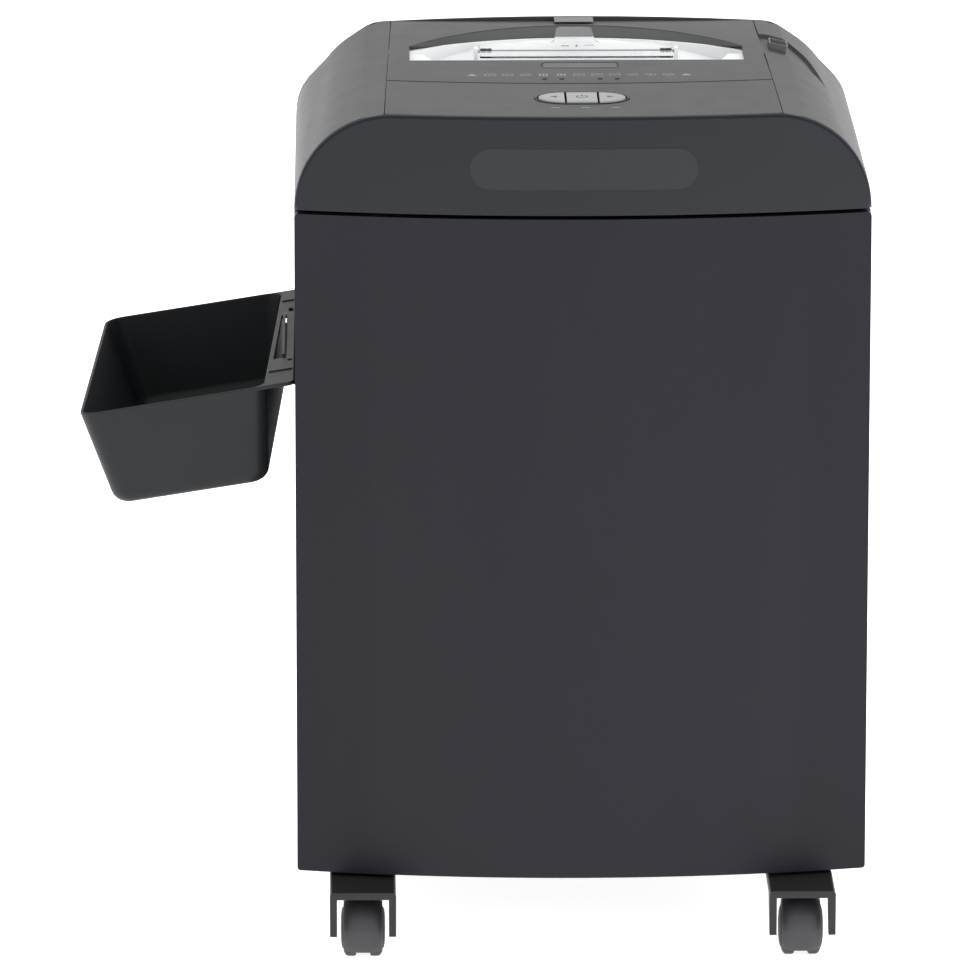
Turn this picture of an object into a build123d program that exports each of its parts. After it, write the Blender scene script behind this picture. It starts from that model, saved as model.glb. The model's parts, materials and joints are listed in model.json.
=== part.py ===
"""Department paper shredder on castors: cabinet with a pull-out waste bin, cutting head, disc tray.

Built in cabinet coordinates: x = 0 is the middle of the cabinet, y = 0 the plane of the front
panel's two vertical edges, +y runs to the back and z = 0 is the floor.  Every node is moved by
one offset when it is written, so that the origin is the middle of the whole object's base.
"""
import math
import os

from build123d import *

# ---- driving dimensions, millimetres ----
WIDTH = 440.0            # cabinet, side to side
DEPTH = 345.0            # front panel's edges to the rear face
BOW = 25.0               # how far the middle of the front stands out
PANEL_BOTTOM = 62.5      # lower edge of the front panel
PANEL_TOP = 583.0
SEAM_GAP = 3.0           # shadow gap between cabinet and head
HEAD_FRONT_TOP = 662.0
HEAD_REAR_TOP = 668.0
HEAD_CORNER = 76.0       # radius of the head's two long shoulders
SHELL = 3.0              # moulded cover thickness
COVER_GAP = 0.4          # joint line between covers
BOARD = 8.0              # cabinet wall thickness
WALL_FRONT = 14.0        # front edge of the side walls, behind the drawer front
RUNNER_REAR = 330.0

# throat and its clear flap
THROAT_HALF = 130.5
THROAT_FRONT = 181.5
THROAT_END_REAR = 234.0
THROAT_PEAK = 286.0
SLOT_FRONT = 197.5
SLOT_REAR = 204.5
SLOT_HALF = 113.0
FLAP_ROD_Y = 223.0
FLAP_ROD_Z = 663.8
FLAP_ROD_R = 1.2
FLAP_HALF = 75.5

# controls and fittings of the head
BUTTON_Y = 43.0
BUTTON_HALF_X = 33.5
BUTTON_HALF_Y = 16.0
BEZEL_RIM = 3.0
SEAM_BACK = 96.6 + BOW   # control strip's rear joint, behind the bowed front
WINDOW = (59.0, 20.0)
WINDOW_Y = 161.0
LED_Y = 112.0
LED_XS = (-27.0, -13.6, 16.0, 29.0)
INLET_X = 120.0
INLET_Z = 618.0
ROCKER_LONG = 21.0
ROCKER_WIDE = 15.0
ROCKER_Y = 251.0
ROCKER_ANGLE = 78.0      # degrees up from the horizontal, on the right shoulder

# cutting mechanism
AXIS_Z = 604.0
AXIS_FRONT_Y = 182.0
AXIS_SPACING = 38.0
CUTTER_R = 24.0
CUTTER_COUNT = 24
CUTTER_PITCH = 11.0
CUTTER_THICK = 4.6
GEAR_MODULE = 2.0
CUTTER_TEETH = 19
IDLER_SMALL_TEETH = 12
IDLER_LARGE_TEETH = 24
PINION_TEETH = 12
MOTOR_Z = 621.0
MOTOR_R = 33.0
BEARING_R = 14.0
CUTTER_START = -CUTTER_PITCH * CUTTER_COUNT / 2 + 0.5   # left face of the first disc

# castors
CASTER_X = 169.4
CASTER_FRONT_Y = -6.0    # swivel axis of the two front castors
CASTER_REAR_Y = 296.0
CASTER_TRAIL = 14.0      # wheel axle ahead of the swivel axis
WHEEL_R = 22.0
PLATE_Z = 52.5           # underside of the castor plates
BASE_Z = 56.0            # underside of the base plate
CASTER_PIN_R = 4.0
BRACKET_FRONT = -52.0    # front end of the anti-tip brackets
BRACKET_REAR = 90.0
BRACKET_HALF = 25.5
BRACKET_LEG = 5.5        # width of a bracket's downward legs
BRACKET_FOOT = 24.0      # height of the legs' lower end

# disc tray on the left side
TRAY_TILT = 9.5          # degrees, outer end down
TRAY_SPLAY = 2.15        # degrees, front end further from the wall than the rear end
TRAY_HINGE_Z = 447.8     # height of the rim plane at the cabinet wall
TRAY_FRONT = 13.0
TRAY_REAR = 341.0
TRAY_CORNER = 15.0
TRAY_INNER = 16.0        # distance of the two long rim edges from the cabinet wall
TRAY_OUTER = 162.4
TRAY_DROP = 76.8
TRAY_DRAFT = (12.0, 14.3, 6.5)   # how far the inner, outer and end walls draw in over the drop
TRAY_WALL = 2.4
FLANGE_THICK = 3.0
FLANGE_GAP = 1.2         # flange's long edge to the cabinet wall
HANGER_FRONT = 101.0     # window in the flange that the hanger's lip comes up through
HANGER_REAR = 251.0
HANGER_Z = 440.5         # top of the hanger's shelf
LIP_X = 9.4              # middle of the lip from the cabinet wall
LIP_THICK = 1.8

# ---- worked out from the driving dimensions ----
HALF = WIDTH / 2
HEAD_BOTTOM = PANEL_TOP + SEAM_GAP
BOW_R = (HALF**2 + BOW**2) / (2 * BOW)
BOW_CENTRE_Y = BOW_R - BOW
TOP_SLOPE = (HEAD_REAR_TOP - HEAD_FRONT_TOP) / (DEPTH + BOW)
AXIS_REAR_Y = AXIS_FRONT_Y + AXIS_SPACING
TRAY_MID = (TRAY_FRONT + TRAY_REAR) / 2

# whole object: tray rim to right side, castor bracket to rear face
RIM_RUN = math.cos(math.radians(TRAY_TILT)) * math.cos(math.radians(TRAY_SPLAY))
REACH_LEFT = (-HALF - (TRAY_OUTER - TRAY_CORNER) * RIM_RUN
              - ((TRAY_REAR - TRAY_FRONT) / 2 - TRAY_CORNER) * math.sin(math.radians(TRAY_SPLAY))
              - TRAY_CORNER * math.hypot(RIM_RUN, math.sin(math.radians(TRAY_SPLAY))))
ORIGIN_X = (REACH_LEFT + HALF) / 2
ORIGIN_Y = (BRACKET_FRONT + DEPTH) / 2


# ---- helpers ----
def block(x0, x1, y0, y1, z0, z1):
    """A box between six faces."""
    centre = Pos((x0 + x1) / 2, (y0 + y1) / 2, (z0 + z1) / 2)
    return centre * Box(x1 - x0, y1 - y0, z1 - z0)


def rod_x(radius, x0, x1, y, z):
    """A round bar along X."""
    return Pos((x0 + x1) / 2, y, z) * Rot(0, 90, 0) * Cylinder(radius, x1 - x0)


def rod_z(radius, x, y, z0, z1):
    """A round bar along Z."""
    return Pos(x, y, (z0 + z1) / 2) * Cylinder(radius, z1 - z0)


def prism_x(points, x0, x1):
    """A closed outline of (y, z) points, carried along X."""
    face = Plane((x0, 0, 0), x_dir=(0, 1, 0), z_dir=(1, 0, 0)) * make_face(Polyline(*points, close=True))
    return extrude(face, x1 - x0, dir=(1, 0, 0))


def prism_z(outline, z0, z1):
    """A flat face in XY, carried along Z."""
    return extrude(Pos(0, 0, z0) * outline, z1 - z0, dir=(0, 0, 1))


def rounded(shape, axis, radius):
    """Round every edge that runs along one axis."""
    return fillet(shape.edges().filter_by(axis), radius)


def top_z(y):
    """Height of the head's top surface at a depth y."""
    return HEAD_FRONT_TOP + TOP_SLOPE * (y + BOW)


def bow_drum(inset, z0, z1):
    """The large drum whose front face is the bowed front, moved in by inset."""
    return Pos(0, BOW_CENTRE_Y, (z0 + z1) / 2) * Cylinder(BOW_R - inset, z1 - z0)


def write(node, shape):
    """Write one node, moved into the object's own frame."""
    placed = [Pos(-ORIGIN_X, -ORIGIN_Y, 0) * solid for solid in shape.solids()]
    export_step(placed[0] if len(placed) == 1 else Compound(placed), f"parts/{node}.step")


def group(*shapes):
    """Several separate solids as one shape."""
    return Compound([solid for shape in shapes for solid in shape.solids()])


# ---- cabinet ----
def cabinet():
    """Fixed walls of the cabinet and the plate that the castors carry."""
    y1 = DEPTH - BOARD
    wall = rounded(block(-HALF, -HALF + BOARD, WALL_FRONT, y1, PANEL_BOTTOM, PANEL_TOP), Axis.Y, 2.0)
    write("left_side_panel", wall)
    write("right_side_panel", mirror(wall, Plane.YZ))
    rear = block(-HALF, HALF, y1, DEPTH, PANEL_BOTTOM, PANEL_TOP)
    write("rear_panel", rounded(rear, Axis.Z, 2.0))

    inner = HALF - BOARD
    base = block(-inner, inner, 20.0, y1, BASE_Z, BASE_Z + 10.0)
    for x in (-CASTER_X, CASTER_X):
        base -= rod_z(CASTER_PIN_R + 0.05, x, CASTER_REAR_Y, BASE_Z, BASE_Z + 10.0)
    write("base_plate", base)

    runners = []
    for side in (-1, 1):
        web = block(inner - 2.0, inner, 22.0, RUNNER_REAR, 92.0, 128.0)
        lower = block(inner - 10.0, inner - 2.0, 22.0, RUNNER_REAR, 92.0, 94.0)
        upper = block(inner - 10.0, inner - 2.0, 22.0, RUNNER_REAR, 126.0, 128.0)
        channel = web + lower + upper
        runners.append(channel if side > 0 else mirror(channel, Plane.YZ))
    write("cabinet_runners", group(*runners))


def drawer():
    """Pull-out bin drawer: bowed front, inner panel, carrier, runners and the bin."""
    slab_back = 12.0
    slab = block(-HALF, HALF, -BOW - 5.0, slab_back, PANEL_BOTTOM, PANEL_TOP)
    slab = rounded(slab, Axis.Y, 7.0) & bow_drum(0.0, PANEL_BOTTOM, PANEL_TOP)
    pocket = block(-HALF + 6.0, HALF - 6.0, -BOW, slab_back, PANEL_BOTTOM + 6.0, PANEL_TOP - 6.0)
    slab -= pocket & bow_drum(4.0, PANEL_BOTTOM, PANEL_TOP)
    front_edges = slab.edges().filter_by(GeomType.CIRCLE).filter_by(
        lambda edge: edge.radius > 900 and abs(edge.center().Y) < BOW + 1).sort_by(Axis.Z)
    write("drawer_front", fillet([front_edges[0], front_edges[-1]], 1.5))

    inner = HALF - 6.0
    write("drawer_inner_panel", block(-inner, inner, 9.0, slab_back, PANEL_BOTTOM + 6.0, PANEL_TOP - 6.0))

    floor_z = 74.0
    half = 196.0
    carrier = block(-half, half, slab_back, 318.0, floor_z, floor_z + 2.0)
    for x in (-half, half - 2.0):
        carrier += block(x, x + 2.0, slab_back, 318.0, floor_z, 126.0)
    carrier += block(-half, half, 316.0, 318.0, floor_z, 150.0)
    write("bin_carrier", carrier)

    bars = []
    for side in (-1, 1):
        bar = block(half, HALF - BOARD - 3.0, slab_back, 318.0, 95.0, 125.0)
        bars.append(bar if side > 0 else mirror(bar, Plane.YZ))
    write("drawer_runners", group(*bars))

    bin_z0 = 76.0
    bin_z1 = 545.0
    tub = rounded(block(-192.0, 192.0, 16.0, 312.0, bin_z0, bin_z1), Axis.Z, 14.0)
    hollow = rounded(block(-189.6, 189.6, 18.4, 309.6, bin_z0 + 2.4, bin_z1), Axis.Z, 11.6)
    rim = rounded(block(-196.0, 196.0, 13.0, 315.0, bin_z1 - 3.0, bin_z1), Axis.Z, 16.0)
    write("waste_bin", tub + rim - hollow)


# ---- cutting head: covers ----
def head_block(inset, y0, y1, z_low):
    """The head's outer form, moved in by inset, between two depths and above z_low."""
    half = HALF - inset
    radius = HEAD_CORNER - inset
    start_y = -BOW - 10.0
    shoulder = top_z(start_y) - HEAD_CORNER
    low = HEAD_BOTTOM - 20.0
    outline = Polyline((-half, shoulder), (-half, low), (half, low), (half, shoulder))
    right = RadiusArc((half, shoulder), (half - radius, shoulder + radius), -radius)
    flat = Line((half - radius, shoulder + radius), (-half + radius, shoulder + radius))
    left = RadiusArc((-half + radius, shoulder + radius), (-half, shoulder), -radius)
    face = Plane((0, start_y, 0), x_dir=(1, 0, 0), z_dir=(0, -1, 0)) * make_face(outline + right + flat + left)
    length = DEPTH - start_y + 10.0
    body = extrude(face, length, dir=(0, 1, TOP_SLOPE))
    return body & block(-HALF, HALF, y0, y1, z_low, HEAD_REAR_TOP + 5.0)


def seam_half(y):
    """Half width of the middle covers at a depth y; the joint lines close in to the back."""
    return 151.5 - 7.5 * (y + BOW) / (DEPTH + BOW)


def middle_zone(gap):
    """Plan of the middle covers, widened by gap."""
    front = -BOW - 10.0
    back = DEPTH + 10.0
    return prism_z(make_face(Polyline(
        (-seam_half(front) - gap, front), (seam_half(front) + gap, front),
        (seam_half(back) + gap, back), (-seam_half(back) - gap, back), close=True)), 560.0, 700.0)


def throat_plan(grow):
    """The throat's outline: straight front, short ends and an arched back."""
    half = THROAT_HALF + grow
    front = THROAT_FRONT - grow
    rear = THROAT_END_REAR + grow
    edges = Polyline((-half, rear), (-half, front), (half, front), (half, rear))
    arch = ThreePointArc((half, rear), (0, THROAT_PEAK + grow), (-half, rear))
    return make_face(edges + arch)


def pill(half_x, half_y, x, y):
    """A flat pill outline in plan."""
    return Pos(x, y, 0) * SlotOverall(2 * half_x, 2 * half_y)


def head_covers():
    """Moulded covers of the cutting head."""
    rear_wall = DEPTH - SHELL
    outer = head_block(0.0, -BOW - 5.0, DEPTH, HEAD_BOTTOM)
    hollow = head_block(SHELL, -BOW - 5.0, DEPTH, HEAD_BOTTOM - 5.0)
    fascia = outer & bow_drum(0.0, 570.0, 700.0)
    fascia -= bow_drum(SHELL, 570.0, 700.0)
    fascia &= block(-HALF, HALF, -BOW - 5.0, 20.0, 570.0, 700.0)
    badge_seat = bow_drum(-2.0, 570.0, 700.0) - bow_drum(1.0, 570.0, 700.0)
    badge_form = Pos(0, -BOW, 622.0) * Rot(90, 0, 0) * extrude(SlotOverall(173.0, 32.0), 30.0, both=True)
    write("badge_plate", badge_form & (bow_drum(-0.4, 600.0, 645.0) - bow_drum(1.0, 600.0, 645.0))
          & block(-90.0, 90.0, -BOW - 5.0, 5.0, 600.0, 645.0))
    write("front_fascia", fascia - (badge_form & badge_seat))

    behind_fascia = bow_drum(SHELL + COVER_GAP, 570.0, 700.0) & block(
        -HALF, HALF, -BOW, rear_wall - COVER_GAP, 570.0, 700.0)
    shell = (outer - hollow) & behind_fascia
    middle = shell & middle_zone(0.0)
    sides = shell - middle_zone(COVER_GAP)
    control = middle - bow_drum(SEAM_BACK - COVER_GAP, 570.0, 700.0)
    bezel_hole = prism_z(pill(BUTTON_HALF_X + BEZEL_RIM, BUTTON_HALF_Y + BEZEL_RIM, 0, BUTTON_Y), 650.0, 680.0)
    write("control_panel", control - bezel_hole)

    top = middle & bow_drum(SEAM_BACK, 570.0, 700.0)
    top -= prism_z(throat_plan(0.0), 640.0, 680.0)
    window_hole = Pos(0, WINDOW_Y, 0) * RectangleRounded(WINDOW[0] + 0.6, WINDOW[1] + 0.6, 4.0)
    top -= prism_z(window_hole, 640.0, 680.0)
    for x in LED_XS:
        top -= rod_z(2.2, x, LED_Y, 640.0, 680.0)
    write("top_cover", top)

    left, right = sides.solids().sort_by(Axis.X)
    write("side_cover_left", left)
    write("side_cover_right", right - rocker_seat(ROCKER_LONG + 0.8, ROCKER_WIDE + 0.8, 20.0))

    rear = outer & block(-HALF, HALF, rear_wall, DEPTH, HEAD_BOTTOM, 680.0)
    rear -= block(INLET_X - 14.0, INLET_X + 14.0, rear_wall, DEPTH, INLET_Z - 10.0, INLET_Z + 10.0)
    for row in range(5):
        z = 606.0 + 8.0 * row
        rear -= block(-150.0, -70.0, rear_wall, DEPTH, z, z + 3.0)
    write("rear_cover", rear)

    base = block(-HALF + 6.0, HALF - 6.0, 14.0, rear_wall - 0.5, PANEL_TOP, HEAD_BOTTOM)
    base -= block(-134.0, 134.0, AXIS_FRONT_Y - CUTTER_R - 3.0, AXIS_REAR_Y + CUTTER_R + 3.0,
                  PANEL_TOP, HEAD_BOTTOM)
    base -= block(-176.0, -144.0, 155.0, 316.0, PANEL_TOP, HEAD_BOTTOM)
    write("head_base", base)


def rocker_place():
    """Frame of the power switch: outward normal of the right shoulder as its local Z."""
    angle = math.radians(ROCKER_ANGLE)
    x = HALF - HEAD_CORNER + HEAD_CORNER * math.cos(angle)
    z = top_z(ROCKER_Y) - HEAD_CORNER + HEAD_CORNER * math.sin(angle)
    return Plane((x, ROCKER_Y, z), x_dir=(math.sin(angle), 0, -math.cos(angle)),
                 z_dir=(math.cos(angle), 0, math.sin(angle)))


def rocker_seat(long, wide, depth):
    """A rounded block through the right shoulder at the power switch."""
    return rocker_place() * rounded(Box(wide, long, depth), Axis.Z, 1.5)


def head_fittings():
    """Throat funnel, button surround, window, lamps, inlet, boards and switch frame."""
    flange_top = top_z(THROAT_FRONT - 5.0) - SHELL - 0.35
    rise = (flange_top - 640.0) / (THROAT_PEAK - SLOT_REAR)
    under = 3.0
    section = [
        (THROAT_FRONT - 6.0, flange_top), (THROAT_FRONT - 6.0, flange_top - under),
        (SLOT_FRONT - 4.0, flange_top - under), (SLOT_FRONT - 4.0, 631.0),
        (SLOT_REAR + 4.0, 631.0), (SLOT_REAR + 4.0, 640.0 - under + 4.0 * rise),
        (THROAT_PEAK + 6.0, flange_top - under + 6.0 * rise), (THROAT_PEAK + 6.0, flange_top)]
    insert = prism_x(section, -THROAT_HALF - 5.0, THROAT_HALF + 5.0) & prism_z(throat_plan(5.0), 600.0, 700.0)
    funnel = [
        (SLOT_FRONT, flange_top + 5.0), (SLOT_FRONT, 625.0), (SLOT_REAR, 625.0), (SLOT_REAR, 640.0),
        (THROAT_PEAK, flange_top), (THROAT_PEAK, flange_top + 5.0)]
    corner_y = 220.5
    corner_x = 119.6
    mouth = make_face(Polyline(
        (-SLOT_HALF, SLOT_FRONT), (SLOT_HALF, SLOT_FRONT), (corner_x, corner_y), (THROAT_HALF, corner_y),
        (THROAT_HALF, THROAT_PEAK), (-THROAT_HALF, THROAT_PEAK), (-THROAT_HALF, corner_y),
        (-corner_x, corner_y), close=True))
    cavity = prism_x(funnel, -THROAT_HALF, THROAT_HALF) & prism_z(mouth, 600.0, 700.0)
    cavity &= prism_z(throat_plan(-1.5), 600.0, 700.0)
    insert -= cavity
    for side in (-1, 1):
        x = side * (FLAP_HALF + 3.0)
        post = block(x - 1.5, x + 1.5, FLAP_ROD_Y - 4.0, FLAP_ROD_Y + 4.0, 642.0, FLAP_ROD_Z + 3.0)
        insert += post
    insert -= rod_x(FLAP_ROD_R + 0.05, -FLAP_HALF - 5.0, FLAP_HALF + 5.0, FLAP_ROD_Y, FLAP_ROD_Z)
    write("throat_insert", insert)

    surround_top = top_z(BUTTON_Y) + 0.3
    surround = prism_z(pill(BUTTON_HALF_X + BEZEL_RIM - 0.3, BUTTON_HALF_Y + BEZEL_RIM - 0.3, 0, BUTTON_Y),
                       surround_top - 8.0, surround_top)
    surround -= prism_z(pill(BUTTON_HALF_X + 0.5, BUTTON_HALF_Y + 0.5, 0, BUTTON_Y),
                        surround_top - 8.0, surround_top)
    ledge = prism_z(pill(BUTTON_HALF_X + BEZEL_RIM + 2.5, BUTTON_HALF_Y + BEZEL_RIM + 2.5, 0, BUTTON_Y),
                    surround_top - 8.0, surround_top - 5.0)
    ledge -= prism_z(pill(BUTTON_HALF_X + 0.5, BUTTON_HALF_Y + 0.5, 0, BUTTON_Y),
                     surround_top - 8.0, surround_top - 5.0)
    write("button_surround", surround + ledge)

    window_top = top_z(WINDOW_Y) - 0.6
    write("status_window", prism_z(Pos(0, WINDOW_Y, 0) * RectangleRounded(WINDOW[0], WINDOW[1], 3.7),
                                   window_top - 3.0, window_top))
    lamps = [rod_z(1.9, x, LED_Y, top_z(LED_Y) - 5.0, top_z(LED_Y) + 0.2) for x in LED_XS]
    write("status_lamps", group(*lamps))

    board_z = 648.0
    write("control_board", block(-62.0, 62.0, 8.0, 122.0, board_z, board_z + 1.6))

    inlet = rounded(block(INLET_X - 13.7, INLET_X + 13.7, DEPTH - 24.0, DEPTH,
                          INLET_Z - 9.7, INLET_Z + 9.7), Axis.Y, 3.0)
    inlet -= rounded(block(INLET_X - 11.5, INLET_X + 11.5, DEPTH - 18.0, DEPTH,
                           INLET_Z - 7.5, INLET_Z + 7.5), Axis.Y, 2.0)
    for dx in (-7.0, 0.0, 7.0):
        inlet += block(INLET_X + dx - 1.0, INLET_X + dx + 1.0, DEPTH - 19.0, DEPTH - 4.0,
                       INLET_Z - 2.0, INLET_Z + 2.0)
    write("power_inlet", inlet)

    frame = Box(ROCKER_WIDE, ROCKER_LONG, 9.0)
    frame = rounded(frame, Axis.Z, 1.2) - Box(ROCKER_WIDE - 3.0, ROCKER_LONG - 3.0, 9.0)
    write("switch_frame", rocker_place() * (Pos(0, 0, -4.2) * frame))


def controls():
    """Pieces a user presses: three buttons, the power rocker and the clear flap."""
    top = top_z(BUTTON_Y) + 0.9
    whole = prism_z(pill(BUTTON_HALF_X, BUTTON_HALF_Y, 0, BUTTON_Y), top - 7.0, top)
    split = 12.5
    gap = 0.75
    rear = BUTTON_Y + BUTTON_HALF_Y
    front = BUTTON_Y - BUTTON_HALF_Y
    spans = {
        "button_reverse": (-BUTTON_HALF_X, -split - gap),
        "button_power": (-split + gap, split - gap),
        "button_forward": (split + gap, BUTTON_HALF_X)}
    for name, (x0, x1) in spans.items():
        key = whole & block(x0, x1, front, rear, top - 7.0, top)
        write(name, fillet(key.faces().sort_by(Axis.Z)[-1].edges(), 0.8))

    rocker = Cylinder(14.0, ROCKER_WIDE - 3.8)
    rocker = Rot(0, 90, 0) * rocker & Pos(0, 0, 9.0) * Box(ROCKER_WIDE, ROCKER_LONG - 5.8, 9.0)
    write("power_rocker", rocker_place() * (Pos(0, 0, -12.2) * rocker))

    low = FLAP_ROD_Z - 0.8
    high = FLAP_ROD_Z + 0.8
    plate = block(-FLAP_HALF, FLAP_HALF, 198.0, 254.5, low, high)
    tab = Plane.XY * make_face(Polyline((-16.0, 0), (16.0, 0), (14.0, 38.0), (-14.0, 38.0), close=True))
    tab = extrude(tab, 1.6, dir=(0, 0, 1))
    plate += Pos(0, 254.0, low) * Rot(8.0, 0, 0) * tab
    plate += rod_x(2.4, -65.0, 65.0, FLAP_ROD_Y, FLAP_ROD_Z)
    for side in (-1, 1):
        x0, x1 = sorted((side * 65.0, side * (FLAP_HALF + 1.0)))
        plate -= block(x0, x1, FLAP_ROD_Y - 3.5, FLAP_ROD_Y + 3.5, low - 2.0, high + 2.0)
    plate -= rod_x(FLAP_ROD_R, -66.0, 66.0, FLAP_ROD_Y, FLAP_ROD_Z)
    write("safety_flap", plate)
    write("flap_rod", rod_x(FLAP_ROD_R, -FLAP_HALF - 4.2, FLAP_HALF + 4.2, FLAP_ROD_Y, FLAP_ROD_Z))


# ---- cutting mechanism ----
def gear(teeth, phase):
    """Flat spur wheel outline in (y, z) with one tooth centred at the angle phase, radians."""
    pitch_r = GEAR_MODULE * teeth / 2
    root_r = pitch_r - 1.25 * GEAR_MODULE
    tip_r = pitch_r + 0.8 * GEAR_MODULE
    pitch = 2 * math.pi / teeth
    corners = ((root_r, -0.27), (tip_r, -0.10), (tip_r, 0.10), (root_r, 0.27))
    points = []
    for tooth in range(teeth):
        centre = phase + tooth * pitch
        for radius, share in corners:
            angle = centre + share * pitch
            points.append((radius * math.cos(angle), radius * math.sin(angle)))
    return points


def meshing_phase(phase, teeth, other_teeth, direction):
    """Phase of the wheel that meshes with another one lying at the angle direction."""
    radius = GEAR_MODULE * teeth / 2
    other_radius = GEAR_MODULE * other_teeth / 2
    half_pitch = math.pi * GEAR_MODULE / 2
    return direction + math.pi - (radius * (phase - direction) + half_pitch) / other_radius


def wheel_x(teeth, phase, bore, x0, x1, y, z):
    """A spur wheel between x0 and x1 on an axle at (y, z)."""
    solid = Pos(0, y, z) * prism_x(gear(teeth, phase), x0, x1)
    return solid - rod_x(bore, x0 - 1.0, x1 + 1.0, y, z)


def cutter(y, first_x, turn):
    """Cutting cylinder machined from one bar: toothed discs on a shaft with two journals."""
    solid = rod_x(8.0, -154.0, 146.0, y, AXIS_Z) + rod_x(11.0, -136.0, 136.0, y, AXIS_Z)
    hooks = 9
    outline = []
    for hook in range(hooks):
        start = turn * 2 * math.pi * hook / hooks
        sweep = turn * 2 * math.pi / hooks
        for radius, share in ((CUTTER_R, 0.0), (CUTTER_R - 0.8, 0.45), (CUTTER_R - 4.0, 0.93)):
            angle = start + share * sweep
            outline.append((y + radius * math.cos(angle), AXIS_Z + radius * math.sin(angle)))
    disc = prism_x(outline, 0.0, CUTTER_THICK)
    discs = [Pos(first_x + CUTTER_PITCH * index, 0, 0) * disc for index in range(CUTTER_COUNT)]
    return solid.fuse(*discs)


def gear_train():
    """Cutting cylinders' gears, idler and motor pinion; returns the idler's and motor's depths."""
    idler_direction = math.asin((MOTOR_Z - AXIS_Z) / (GEAR_MODULE * (
        CUTTER_TEETH + IDLER_SMALL_TEETH + IDLER_LARGE_TEETH + PINION_TEETH) / 2))
    reach = GEAR_MODULE * (CUTTER_TEETH + IDLER_SMALL_TEETH) / 2
    idler_y = AXIS_REAR_Y + reach * math.cos(idler_direction)
    idler_z = AXIS_Z + reach * math.sin(idler_direction)
    motor_reach = GEAR_MODULE * (IDLER_LARGE_TEETH + PINION_TEETH) / 2
    motor_y = idler_y + motor_reach * math.cos(idler_direction)
    rear_phase = meshing_phase(0.0, CUTTER_TEETH, CUTTER_TEETH, 0.0)
    small_phase = meshing_phase(rear_phase, CUTTER_TEETH, IDLER_SMALL_TEETH, idler_direction)
    pinion_phase = meshing_phase(small_phase, IDLER_LARGE_TEETH, PINION_TEETH, idler_direction)
    write("gear_front", wheel_x(CUTTER_TEETH, 0.0, 8.0, -152.0, -146.0, AXIS_FRONT_Y, AXIS_Z))
    write("gear_rear", wheel_x(CUTTER_TEETH, rear_phase, 8.0, -152.0, -146.0, AXIS_REAR_Y, AXIS_Z))
    idler = wheel_x(IDLER_SMALL_TEETH, small_phase, 4.05, -154.0, -146.0, idler_y, idler_z)
    idler += wheel_x(IDLER_LARGE_TEETH, small_phase, 4.05, -162.0, -156.0, idler_y, idler_z)
    idler += rod_x(8.0, -156.0, -154.0, idler_y, idler_z)
    idler -= rod_x(4.05, -163.0, -145.0, idler_y, idler_z)
    write("idler_gear", idler)
    write("idler_axle", rod_x(4.0, -165.0, -142.0, idler_y, idler_z))
    pinion = Pos(0, motor_y, MOTOR_Z) * prism_x(gear(PINION_TEETH, pinion_phase), -162.0, -156.0)
    write("motor_pinion", pinion + rod_x(4.0, -156.0, -120.0, motor_y, MOTOR_Z))
    return idler_y, motor_y


def motor_and_boards(motor_y):
    """Motor on its feet, its capacitor and the power board."""
    motor = rod_x(MOTOR_R, -128.0, -22.0, motor_y, MOTOR_Z)
    motor -= rod_x(4.05, -129.0, -118.0, motor_y, MOTOR_Z)
    motor += rod_x(24.0, -22.0, -14.0, motor_y, MOTOR_Z)
    for x in (-112.0, -48.0):
        motor += block(x, x + 12.0, motor_y - 26.0, motor_y + 26.0, HEAD_BOTTOM, MOTOR_Z - 22.0)
    write("motor_body", motor)
    write("motor_capacitor", rounded(block(10.0, 72.0, motor_y - 18.0, motor_y + 12.0,
                                           HEAD_BOTTOM, HEAD_BOTTOM + 32.0), Axis.X, 14.0))
    board = block(90.0, 196.0, 262.0, 316.0, HEAD_BOTTOM + 6.0, HEAD_BOTTOM + 7.6)
    board += block(98.0, 130.0, 270.0, 300.0, HEAD_BOTTOM + 7.6, HEAD_BOTTOM + 30.0)
    board += block(140.0, 150.0, 272.0, 296.0, HEAD_BOTTOM + 7.6, HEAD_BOTTOM + 22.0)
    for x, y in ((93.0, 265.0), (190.0, 265.0), (93.0, 311.0), (190.0, 311.0)):
        board += rod_z(2.5, x, y, HEAD_BOTTOM, HEAD_BOTTOM + 6.0)
    write("power_board", board)


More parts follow.
